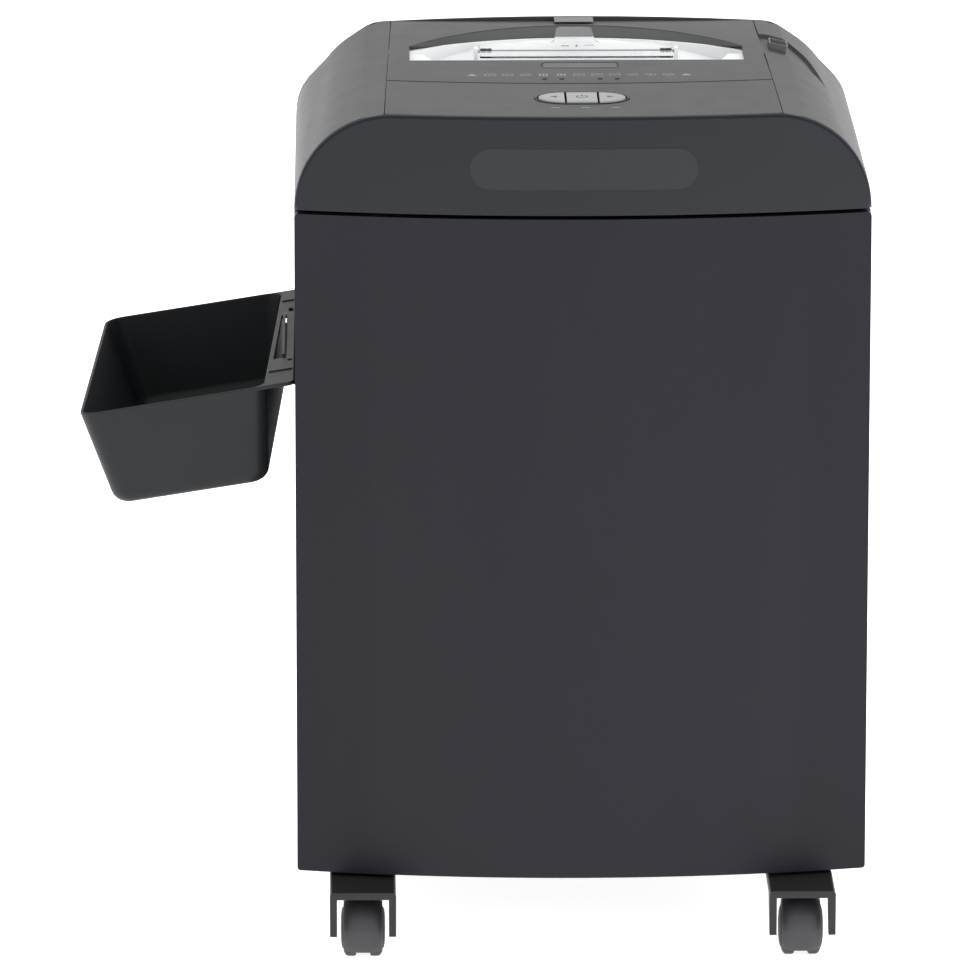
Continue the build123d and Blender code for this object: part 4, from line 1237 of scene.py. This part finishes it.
@dataclass
class Controls:
    """Buttons, lamps, window and printed marks on the head."""

    covers: HeadCovers
    half: tuple[float, float, float] = (33.4, 16.8, 11.5)
    split: float = 12.5
    gap: float = 1.5
    icon_y: float = 126.0
    icon_pitch: float = 13.8
    icon_count: int = 13

    def surround(self) -> None:
        """Build the dark rim round the buttons."""
        a, b, straight = self.covers.buttons
        centre = (0.0, self.covers.button_y)
        rings = []
        for grow, height in ((-0.3, -6.0), (-0.3, 0.1), (-0.6, 0.5), (-1.1, 0.6), (-1.7, 0.35), (-2.1, -0.4),
                             (-2.2, -6.0)):
            outline = lens(a + grow, b + grow, straight, centre)
            rings.append([self.covers.on_top(x, y, height) for x, y in outline])
        form = Form()
        form.loft(rings, joined=True)
        floor = lens(a - 0.4, b - 0.4, straight, centre)
        form.prism(floor, -8.5, -7.5, self.covers.on_top)
        fit(form.piece("button_rim"), "cabinet", Slot.TRIM, TRIM, "button_surround")

    def key(self, low: float, high: float) -> Outline:
        """Plan of one button.

        Args:
            low: its left edge.
            high: its right edge.

        Returns:
            The button's outline, anticlockwise.
        """
        a, b, straight = self.half
        start, stop = max(low, -a), min(high, a)
        edge = []
        for step in range(25):
            x = start + (stop - start) * (1 - math.cos(math.pi * step / 24)) / 2
            beyond = max(0.0, abs(x) - straight) / (a - straight)
            edge.append((x, b * math.sqrt(max(0.0, 1 - beyond**2))))
        outline = [(x, -reach) for x, reach in edge]
        outline += [(x, reach) for x, reach in reversed(edge) if reach > 0.01]
        return [(x, y + self.covers.button_y) for x, y in outline]

    def keys(self) -> None:
        """Build the three buttons, each with its mark."""
        inner = self.split - self.gap / 2
        outer = self.split + self.gap / 2
        reach = self.half[0] + 1.0
        y = self.covers.button_y
        arrow = [(-3.4, 0.0), (1.8, -2.8), (1.8, 2.8)]
        spans = (("reverse", -reach, -outer), ("power", -inner, inner), ("forward", outer, reach))
        for name, low, high in spans:
            form = Form()
            form.crowned(self.key(low, high), -5.5, 1.1, 0.9, 0.25, self.covers.on_top)
            fit(form.piece(f"key_{name}"), f"{name}_button", Slot.BUTTON, BUTTON, f"button_{name}")
            mark = Form()
            if name == "power":
                swing = spread(math.radians(125), math.radians(415), 15)
                rings = [[self.covers.on_top(radius * math.cos(t), y + radius * math.sin(t), height)
                          for radius, height in ((4.6, 1.30), (4.6, 1.42), (3.5, 1.42), (3.5, 1.30))]
                         for t in swing]
                mark.loft(rings)
                mark.prism(round_box(0.6, 2.6, 0.5, (0.0, y + 3.4), 2), 1.30, 1.42, self.covers.on_top)
            else:
                side = 1 if name == "forward" else -1
                spot = [(side * (21.0 - px), y + py) for px, py in arrow]
                mark.prism(spot, 1.30, 1.42, self.covers.on_top)
            fit(mark.piece(f"key_{name}_mark"), f"{name}_button", Slot.TRIM, MARK)

    def lamps(self) -> None:
        """Build the four domed status lamps."""
        form = Form()
        for x in self.covers.lamp_xs:
            base = HOUSING.top(self.covers.lamp_y)
            profile = [(-4.5, 1.9), (-0.1, 1.9), (0.25, 1.75), (0.5, 1.3), (0.62, 0.6), (0.64, 0.05)]
            form.turned(profile, (x, self.covers.lamp_y, base), Axis.Z, 20)
        fit(form.piece("lamp_domes"), "cabinet", Slot.LAMP, LAMP, "status_lamps")

    def window(self) -> None:
        """Build the window lens and the thin line round it."""
        middle, half_a, half_b = self.covers.window
        plan = round_box(half_a - 1.0, half_b - 1.0, 3.0, (middle, self.covers.window_y))
        form = Form()
        form.crowned(plan, -3.2, -0.1, 0.35, 0.1, self.covers.on_top)
        fit(form.piece("window_lens"), "cabinet", Slot.WINDOW, WINDOW, "status_window")
        outer = round_box(half_a, half_b, 3.9, (middle, self.covers.window_y))
        rim = Form()
        rim.band(outer, plan, -2.8, -0.35, self.covers.on_top)
        fit(rim.piece("window_frame", 0.12), "cabinet", Slot.TRIM, TRIM)

    def glyph(self, form: Form, kind: int, x: float, y: float) -> None:
        """Print one generic mark.

        Args:
            form: gathers the marks.
            kind: which of the plain shapes.
            x: the mark's middle.
            y: the mark's depth.
        """
        low, high = 0.02, 0.10
        at = self.covers.on_top
        if kind == 0:
            form.band(disc(4.4, (x, y), 18), disc(3.5, (x, y), 18), low, high, at)
            form.prism(disc(1.5, (x, y), 10), low, high, at)
        elif kind == 1:
            form.band(round_box(4.2, 4.6, 0.8, (x, y), 2), round_box(3.4, 3.8, 0.4, (x, y), 2), low, high, at)
            for step in (-1.5, 0.3, 2.1):
                form.prism(round_box(2.2, 0.45, 0.4, (x, y + step), 2), low, high, at)
        elif kind == 2:
            form.prism([(x - 4.4, y - 3.6), (x + 4.4, y - 3.6), (x, y + 4.4)], low, high, at)
        elif kind == 3:
            for step in (-2.6, 0.0, 2.6):
                form.prism(round_box(0.8, 4.2, 0.6, (x + step, y), 2), low, high, at)
        else:
            form.band(disc(4.4, (x, y), 18), disc(3.5, (x, y), 18), low, high, at)
            form.prism([(x - 3.0, y - 2.2), (x - 2.2, y - 3.0), (x + 3.0, y + 2.2), (x + 2.2, y + 3.0)],
                       low, high, at)

    def prints(self) -> None:
        """Print the row of marks behind the seam and the dashes before the buttons."""
        form = Form()
        order = (2, 1, 0, 4, 3, 3, 1, 1, 1, 4, 0, 4, 2)
        for index in range(self.icon_count):
            x = (index - (self.icon_count - 1) / 2) * self.icon_pitch
            self.glyph(form, order[index], x, self.icon_y)
        for x in (-21.0, 2.0, 25.0):
            form.prism(round_box(3.4, 1.1, 0.8, (x, 10.0), 3), 0.02, 0.10, self.covers.on_top)
        fit(form.piece("printed_marks"), "cabinet", Slot.BUTTON, PRINT)
        plate = Form()
        plate.plate(round_box(15.5, 9.5, 1.5, (1.0, 330.0)), [], 0.02, 0.35, 0.1, self.covers.on_top)
        fit(plate.piece("rating_label_blank"), "cabinet", Slot.BUTTON, LABEL)

    def build(self) -> None:
        """Build every control."""
        self.surround()
        self.keys()
        self.lamps()
        self.window()
        self.prints()


@dataclass
class PowerSwitch:
    """Rocker switch let into the right shoulder."""

    wide: float = 15.0
    long: float = 21.0
    y: float = 251.0
    angle: float = math.radians(78.0)
    pivot: float = 12.2
    rocker_radius: float = 14.0

    def setting(self) -> Setting:
        """Local frame on the shoulder's skin, with its third axis outwards."""
        x, drop = HOUSING.arc(self.angle)
        return Setting((x, self.y, HOUSING.top(self.y) + drop),
                       (math.sin(self.angle), 0.0, -math.cos(self.angle)), (0.0, 1.0, 0.0))

    def build(self) -> None:
        """Build the frame and the rocker."""
        at = self.setting().at
        outer = round_box(self.wide / 2, self.long / 2, 1.4)
        inner = round_box(self.wide / 2 - 1.6, self.long / 2 - 1.6, 0.8)
        rings = []
        for outline, height in ((outer, -8.4), (outer, -0.1), (drawn_in(outer, 0.4), 0.3),
                                (drawn_in(outer, 1.1), 0.3), (inner, -0.2), (inner, -8.4)):
            rings.append([at(a, b, height) for a, b in outline])
        form = Form()
        form.loft(rings, joined=True)
        fit(form.piece("switch_bezel"), "cabinet", Slot.TRIM, BEZEL, "switch_frame")
        half_wide = self.wide / 2 - 1.9
        half_long = self.long / 2 - 2.9
        key = Form()
        rings = []
        for b in spread(-half_long, half_long, 15):
            dish = 0.35 * math.sin(math.pi * abs(b) / half_long)
            top = math.sqrt(self.rocker_radius**2 - b * b) - self.pivot - dish
            foot = -7.4
            rings.append([at(-half_wide, b, foot), at(half_wide, b, foot), at(half_wide, b, top),
                          at(-half_wide, b, top)])
        key.loft(rings)
        fit(key.piece("switch_rocker", 0.4), "power_switch", Slot.TRIM, TRIM, "power_rocker")


@dataclass
class SafetyFlap:
    """Clear flap over the throat, its sleeves and its guide marks."""

    half: float = 75.5
    front: float = 198.0
    rear: float = 254.5
    rod_y: float = 223.0
    rod_z: float = 663.8
    thick: float = 1.6
    tab_rise: float = math.radians(8.0)
    tab_half: tuple[float, float] = (16.0, 14.0)
    tab_long: float = 38.0

    def at(self, a: float, b: float, c: float) -> Vector:
        """Point on the flap, which lifts towards the end of its tab."""
        beyond = max(0.0, b - self.rear + 1.0)
        return Vector((a, b, self.rod_z + c + math.sin(self.tab_rise) * beyond))

    def build(self) -> None:
        """Build the flap and what it carries."""
        wide, narrow = self.tab_half
        end = self.rear + self.tab_long - 0.5
        slot = 66.0
        plan = [(-self.half, self.front), (self.half, self.front), (self.half, self.rod_y - 3.6),
                (slot, self.rod_y - 3.6), (slot, self.rod_y + 3.6), (self.half, self.rod_y + 3.6),
                (self.half, self.rear), (wide + 3.0, self.rear), (wide, self.rear + 5.0)]
        tip = round_box(narrow, 6.0, 5.0, (0.0, end - 6.0))
        curve = [point for point in tip if point[1] > end - 6.0]
        plan += curve
        plan += [(-wide, self.rear + 5.0), (-wide - 3.0, self.rear), (-self.half, self.rear),
                 (-self.half, self.rod_y + 3.6), (-slot, self.rod_y + 3.6), (-slot, self.rod_y - 3.6),
                 (-self.half, self.rod_y - 3.6)]
        form = Form()
        form.plate(plan, [], -self.thick / 2, self.thick / 2, 0.35, self.at)
        fit(form.piece("flap_clear_plate"), "flap", Slot.CLEAR, CLEAR, "safety_flap")
        marks = Form()
        arrow = [(0.0, 3.4), (-1.5, 1.0), (-0.5, 1.0), (-0.5, -3.2), (0.5, -3.2), (0.5, 1.0), (1.5, 1.0)]
        high = self.thick / 2
        marks.prism([(x + 1.0, y + 240.0) for x, y in arrow], high + 0.02, high + 0.1, self.at)
        for middle, turn in ((-8.0, -1), (-8.0, 1)):
            marks.prism([(middle + turn * (y + 0.2), 240.0 + x) for x, y in arrow if y > -4.0],
                        high + 0.02, high + 0.1, self.at)
        marks.prism(round_box(4.0, 0.6, 0.4, (11.0, 242.5), 2), high + 0.02, high + 0.1, self.at)
        fit(marks.piece("flap_guide_marks"), "flap", Slot.TRIM, INK)
        sleeves = Form()
        profile = [(-5.0, 1.4), (-4.7, 2.2), (-1.6, 2.3), (-1.4, 1.9), (-1.0, 1.9), (-0.8, 2.3), (3.6, 2.3),
                   (4.0, 1.9), (4.2, 1.4)]
        for side in (-1, 1):
            mirrored = [(side * distance, radius) for distance, radius in profile]
            sleeves.turned(mirrored, (side * 70.8, self.rod_y, self.rod_z), Axis.X, 24)
        fit(sleeves.piece("flap_rod_sleeves"), "flap", Slot.STEEL, ROD)


@dataclass
class DiscTray:
    """Side tray for discs and cards."""

    tilt: float = math.radians(9.5)
    splay: float = math.radians(2.15)
    hinge_z: float = 447.8
    middle: float = 177.0
    half: float = 164.0
    near: float = 16.0
    far: float = 162.4
    deep: float = 76.8
    draft: tuple[float, float, float] = (12.0, 14.3, 6.5)
    wall: float = 2.4
    corner: float = 15.0
    foot: float = 9.0
    flange: float = 3.0
    gap: float = 1.2
    window: tuple[float, float] = (101.0, 251.0)
    window_x: float = 7.6
    slots: tuple[tuple[float, float], ...] = ((88.0, 94.0), (262.0, 274.0))
    slot_x: tuple[float, float] = (2.6, 6.0)
    rib_inset: tuple[float, float] = (43.0, 40.0)
    rib: float = 3.0

    def at(self, a: float, b: float, c: float) -> Vector:
        """Point in the tray's own directions.

        Args:
            a: distance outwards along the rim.
            b: distance to the front.
            c: distance up out of the tray.

        Returns:
            The point in the cabinet.
        """
        run = math.cos(self.tilt)
        across = (-run * math.cos(self.splay), run * math.sin(self.splay), -math.sin(self.tilt))
        along = (-math.sin(self.splay), -math.cos(self.splay), 0.0)
        return Setting((-HOUSING.half, self.middle, self.hinge_z), across, along).at(a, b, c)

    def beside(self, distance: float, y: float) -> tuple[float, float]:
        """Place in the tray's plane of a point at a distance from the cabinet wall and a depth.

        Args:
            distance: distance from the wall.
            y: depth in the cabinet.

        Returns:
            The point's a and b.
        """
        b = (self.middle - y) * math.cos(self.splay) - distance * math.sin(self.splay)
        a = (distance - b * math.sin(self.splay)) / (math.cos(self.tilt) * math.cos(self.splay))
        return a, b

    def ring(self, depth: float, inset: float) -> list[Vector]:
        """Ring round the tray's wall.

        Args:
            depth: distance below the rim.
            inset: distance inside the outer face.

        Returns:
            The ring's points.
        """
        near, far, ends = (share * depth / self.deep for share in self.draft)
        low, high = self.near + near + inset, self.far - far - inset
        half = self.half - ends - inset
        outline = round_box((high - low) / 2, half, max(3.0, self.corner - inset), ((low + high) / 2, 0.0), 8)
        return [self.at(a, b, -depth) for a, b in outline]

    def bowl(self, form: Form) -> None:
        """Add the tray's walls, rounded floor and soft rim.

        Args:
            form: what they are added to.
        """
        bend = spread(0.0, math.pi / 2, 6)
        rings = [self.ring(self.deep - self.foot * (1 - math.cos(t)), self.foot * (1 - math.sin(t)))
                 for t in bend]
        rings += [self.ring(1.1, 0.0), self.ring(0.35, 0.35), self.ring(0.0, 1.0), self.ring(0.0, 1.5),
                  self.ring(0.35, 2.1), self.ring(1.1, self.wall)]
        floor = self.deep - self.wall
        rings += [self.ring(floor - self.foot * (1 - math.cos(t)), self.wall + self.foot * (1 - math.sin(t)))
                  for t in reversed(bend)]
        form.loft(rings)

    def build(self) -> None:
        """Build the tray and the flange that hooks over the hanger."""
        form = Form()
        self.bowl(form)
        front, rear = self.middle - self.half + 1.0, self.middle + self.half - 1.0
        side = self.near + 1.2
        end = self.half - 1.0
        plan = [self.beside(self.gap, rear), (side + 9.0, -end), (side, -end + 10.0), (side, end - 10.0),
                (side + 9.0, end), self.beside(self.gap + 5.0, front),
                self.beside(self.gap + 1.5, front + 1.5), self.beside(self.gap, front + 5.0)]
        start, stop = self.window
        inner = self.near - 1.5
        window = [self.beside(self.window_x, start), self.beside(self.window_x, stop)]
        window += [(inner, window[1][1]), (inner, window[0][1])]
        near, away = self.slot_x
        slots = [[self.beside(x, y) for x, y in ((near, low), (away, low), (away, high), (near, high))]
                 for low, high in self.slots]
        form.plate(plan, [window, *slots], -self.flange, 0.0, 0.5, self.at)
        for depth in (front + self.rib_inset[0], rear - self.rib_inset[1]):
            rib = [self.beside(self.gap + 1.0, depth), self.beside(self.gap + 1.0, depth + self.rib)]
            rib += [(side - 1.0, rib[1][1]), (side - 1.0, rib[0][1])]
            form.crowned(rib, -0.5, 1.0, 0.5, 0.1, self.at)
        fit(form.piece("side_tray"), "tray", Slot.TRAY, TRAY, "disc_tray")


@dataclass
class Castor:
    """One twin-wheel castor: hood, web, stem and the pair of wheels."""

    corner: str
    x: float
    y: float
    trail: float = 14.0
    wheel: float = 22.0
    hood_half: float = 15.0
    hood_outer: float = 24.0
    hood_inner: float = 22.7
    hood_drop: float = 3.2
    web_half: float = 5.0

    def hood(self) -> None:
        """Build the hood, the web between the wheels, and the stem."""
        axle = (self.x, self.y - self.trail, self.wheel)
        form = Form()
        outer, inner = [], []
        for t in spread(math.radians(193.5 - 360.0), math.radians(-141.3 + 180.0), 40):
            outer.append([])
            inner.append([])
            for share in spread(-1.0, 1.0, 15):
                drop = self.hood_drop * abs(share)**4
                for rows, radius in ((outer, self.hood_outer - drop), (inner, self.hood_inner - drop)):
                    rows[-1].append((axle[0] + self.hood_half * share, axle[1] - radius * math.cos(t),
                                     axle[2] - radius * math.sin(t)))
        form.shell(outer, inner)
        round_part = [(-23.6 * math.cos(t), -23.6 * math.sin(t)) for t in
                      spread(math.radians(-170.0), math.radians(38.0), 24)]
        low_part = [(-17.5 * math.cos(t), -17.5 * math.sin(t)) for t in
                    spread(math.radians(60.0), math.radians(165.0), 12)]
        web = Setting((axle[0], axle[1], axle[2]), (0.0, 1.0, 0.0), (0.0, 0.0, 1.0))
        form.prism(round_part + low_part, -self.web_half, self.web_half, web.at)
        stem = [(20.0, 6.6), (21.5, 8.6), (23.4, 8.6), (24.4, 6.3), (30.0, 6.2), (30.2, 4.0)]
        form.turned(stem, (self.x, self.y, self.wheel), Axis.Z, 32)
        body = f"castor_{self.corner}_swivel"
        hood = form.piece(f"castor_hood_{self.corner}", 0.35)
        fit(hood, body, Slot.CASTOR, CASTOR, f"castor_{self.corner}")

    def wheels(self) -> None:
        """Build the two domed wheels with their treads and hub rings."""
        axle = (self.x, self.y - self.trail, self.wheel)
        profile = [(5.4, 3.0), (5.4, 20.8), (6.0, 21.7), (7.2, 22.0), (11.4, 22.0), (12.8, 21.6),
                   (13.8, 20.6), (14.8, 18.8), (15.1, 17.6), (14.7, 17.2), (14.9, 16.6),
                   (15.9, 15.8), (16.6, 13.2),
                   (17.0, 10.0), (17.1, 8.0), (16.4, 7.4), (16.4, 5.0), (17.0, 4.4), (17.2, 0.4)]
        form = Form()
        for side in (-1, 1):
            mirrored = [(side * distance, radius) for distance, radius in profile]
            form.turned(mirrored, axle, Axis.X, 56)
        form.turned([(-5.6, 2.9), (5.6, 2.9)], axle, Axis.X, 24)
        body = f"castor_{self.corner}_wheels"
        fit(form.piece(f"castor_wheels_{self.corner}"), body, Slot.CASTOR, TYRE, f"wheels_{self.corner}")

    def build(self) -> None:
        """Build the hood and the wheels."""
        self.hood()
        self.wheels()


@dataclass
class FrontBrackets:
    """Folded anti-tip brackets that reach out over the front castors."""

    xs: tuple[float, float]
    half: float = 25.5
    front: float = -52.0
    rear: float = 90.0
    low: float = 52.5
    high: float = 56.0
    leg: float = 5.5
    leg_foot: float = 24.0
    leg_toe: float = -47.0
    leg_heel: float = -30.0
    bend: float = 3.2
    rise: float = 3.2
    ramp: tuple[float, float] = (8.0, 16.0)

    def section(self, x: float, y: float, foot: float, rise: float) -> list[tuple[float, float, float]]:
        """Channel section at a depth.

        Args:
            x: the bracket's middle.
            y: the depth.
            foot: height of the legs' lower edge.
            rise: how much higher the web stands than under the base plate.

        Returns:
            The section's points.
        """
        high = self.high + rise
        low = self.low + rise / 3
        right = [(self.half - self.leg, min(foot, low - 0.05)), (self.half, min(foot, low - 0.05)),
                 (self.half, high - self.bend)]
        right += [(self.half - self.bend * (1 - math.cos(t)), high - self.bend * (1 - math.sin(t)))
                  for t in spread(math.pi / 10, math.pi / 2, 5)]
        left = [(-a, b) for a, b in reversed(right)]
        under = [(-self.half + self.leg, low), (self.half - self.leg, low)]
        return [(x + a, y, b) for a, b in right + left + under]

    def build(self) -> None:
        """Build both brackets."""
        form = Form()
        for x in self.xs:
            stations = [(self.front, self.leg_foot, self.rise), (self.leg_toe, self.leg_foot, self.rise),
                        (self.leg_heel, self.low, self.rise), (self.ramp[0], self.low, self.rise),
                        (self.ramp[1], self.low, 0.0), (self.rear, self.low, 0.0)]
            form.loft([self.section(x, y, foot, rise) for y, foot, rise in stations])
        fit(form.piece("front_castor_brackets", 0.5), "cabinet", Slot.BRACKET, BRACKET, "castor_brackets")


@dataclass
class RearFixings:
    """Screws that hold the rear wall and the rear cover."""

    spots: tuple[tuple[float, float], ...] = (
        (-205.0, 80.0), (205.0, 80.0), (-205.0, 323.0), (205.0, 323.0), (-205.0, 566.0), (205.0, 566.0),
        (-188.0, 600.0), (188.0, 600.0), (0.0, 600.0), (-60.0, 652.0), (60.0, 652.0))

    def build(self) -> None:
        """Build the cross-head screws."""
        form = Form()
        for x, z in self.spots:
            at = Setting((x, HOUSING.depth, z), (-1.0, 0.0, 0.0), (0.0, 0.0, 1.0)).at
            cross = [(0.5, 0.5), (0.5, 2.0), (-0.5, 2.0), (-0.5, 0.5), (-2.0, 0.5), (-2.0, -0.5),
                     (-0.5, -0.5), (-0.5, -2.0), (0.5, -2.0), (0.5, -0.5), (2.0, -0.5), (2.0, 0.5)]
            form.plate(disc(3.6, (0.0, 0.0), 24), [cross], 0.02, 1.3, 0.4, at)
            form.prism(disc(2.9, (0.0, 0.0), 24), 0.02, 0.3, at)
        fit(form.piece("rear_screws", 0.0), "cabinet", Slot.ZINC, ZINC)


@dataclass
class InnerWorks:
    """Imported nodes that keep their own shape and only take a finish."""

    finishes: dict[Slot, Finish]

    def build(self) -> None:
        """Dress every node that no finished piece stands for."""
        slots = {entry["node"]: Slot(entry["material_slot"]) for entry in frame["record"]["subparts"]}
        for name, node in sorted(frame["nodes"].items()):
            if node.hide_render:
                continue
            finish = self.finishes[slots[name]]
            node.data.materials.clear()
            node.data.materials.append(finish.material())
            LOG.info("%s keeps its shape, finish %s", name, finish.name)


@dataclass
class Studio:
    """Pale floor, soft lamps and the camera."""

    aim: tuple[float, float, float] = (-76.2, 150.0, 336.0)
    distance: float = 7000.0
    pitch: float = math.radians(14.08)
    yaw: float = math.radians(0.89)
    lens: float = 334.8
    floor_half: float = 60.0

    def floor(self) -> None:
        """Lay the floor."""
        h = self.floor_half
        mesh = bpy.data.meshes.new("studio_floor")
        mesh.from_pydata([(-h, -h, 0.0), (h, -h, 0.0), (h, h, 0.0), (-h, h, 0.0)], [], [(0, 1, 2, 3)])
        made = bpy.data.objects.new("studio_floor", mesh)
        bpy.context.scene.collection.objects.link(made)
        nodes = Layout("studio_paper")
        nodes.drive("Base Color", nodes.tones(nodes.noise(0.8), (0.90, 0.90, 0.90), (0.93, 0.93, 0.93)))
        nodes.fixed(Roughness=0.9, Emission_Color=(1.0, 1.0, 1.0, 1.0), Emission_Strength=0.85)
        made.data.materials.append(nodes.material)

    def lamp(self, name: str, at: Sequence[float], watts: float, size: Sequence[float]) -> None:
        """Hang one soft lamp, turned to the machine's middle.

        Args:
            name: the lamp's name.
            at: where it hangs, in metres from the cabinet's foot.
            watts: its power.
            size: its width and height in metres.
        """
        light = bpy.data.lights.new(name, "AREA")
        light.shape = "RECTANGLE"
        light.size, light.size_y = size
        light.energy = watts
        made = bpy.data.objects.new(name, light)
        made.location = CABINET_ORIGIN + Vector(at)
        made.visible_glossy = False
        aim = CABINET_ORIGIN + Vector((0.0, 0.15, 0.4))
        made.rotation_euler = (aim - made.location).to_track_quat("-Z", "Y").to_euler()
        bpy.context.scene.collection.objects.link(made)

    def camera(self) -> None:
        """Set up the camera."""
        data = bpy.data.cameras.new("camera")
        data.lens = self.lens
        data.sensor_width = 36.0
        data.clip_end = 200.0
        made = bpy.data.objects.new("camera", data)
        look = Vector((math.sin(self.yaw) * math.cos(self.pitch), math.cos(self.yaw) * math.cos(self.pitch),
                       -math.sin(self.pitch)))
        made.location = in_frame(self.aim) - look * self.distance * MM
        made.rotation_euler = look.to_track_quat("-Z", "Y").to_euler()
        bpy.context.scene.collection.objects.link(made)
        bpy.context.scene.camera = made

    def build(self) -> None:
        """Set up floor, lamps, world and camera."""
        self.floor()
        self.lamp("key", (2.6, -2.6, 2.0), 66.0, (2.2, 2.2))
        self.lamp("fill", (-2.6, -2.2, 1.6), 5.0, (2.0, 2.0))
        self.lamp("top", (0.0, 1.4, 3.2), 22.0, (2.4, 1.6))
        world = bpy.data.worlds.new("studio")
        world.use_nodes = True
        background = world.node_tree.nodes["Background"]
        background.inputs["Color"].default_value = (1.0, 1.0, 1.0, 1.0)
        background.inputs["Strength"].default_value = 1.0
        bpy.context.scene.world = world
        self.camera()
        bpy.context.scene.view_settings.view_transform = "Standard"


def main() -> None:
    """Build the finished model around the frame."""
    logging.basicConfig(level=logging.INFO, format="%(name)s: %(message)s")
    covers = HeadCovers()
    castor_x, front_y, rear_y = 169.4, -6.0, 296.0
    castors = [Castor(f"{row}_{side}", sign * castor_x, y)
               for row, y in (("front", front_y), ("rear", rear_y))
               for side, sign in (("left", -1), ("right", 1))]
    assemblies = [Studio(), BinDrawer(), covers, Controls(covers), PowerSwitch(), SafetyFlap(), DiscTray(),
                  *castors, FrontBrackets((-castor_x, castor_x)), RearFixings(), InnerWorks(SLOT_FINISH)]
    for assembly in assemblies:
        assembly.build()


if __name__ == "__main__":
    main()
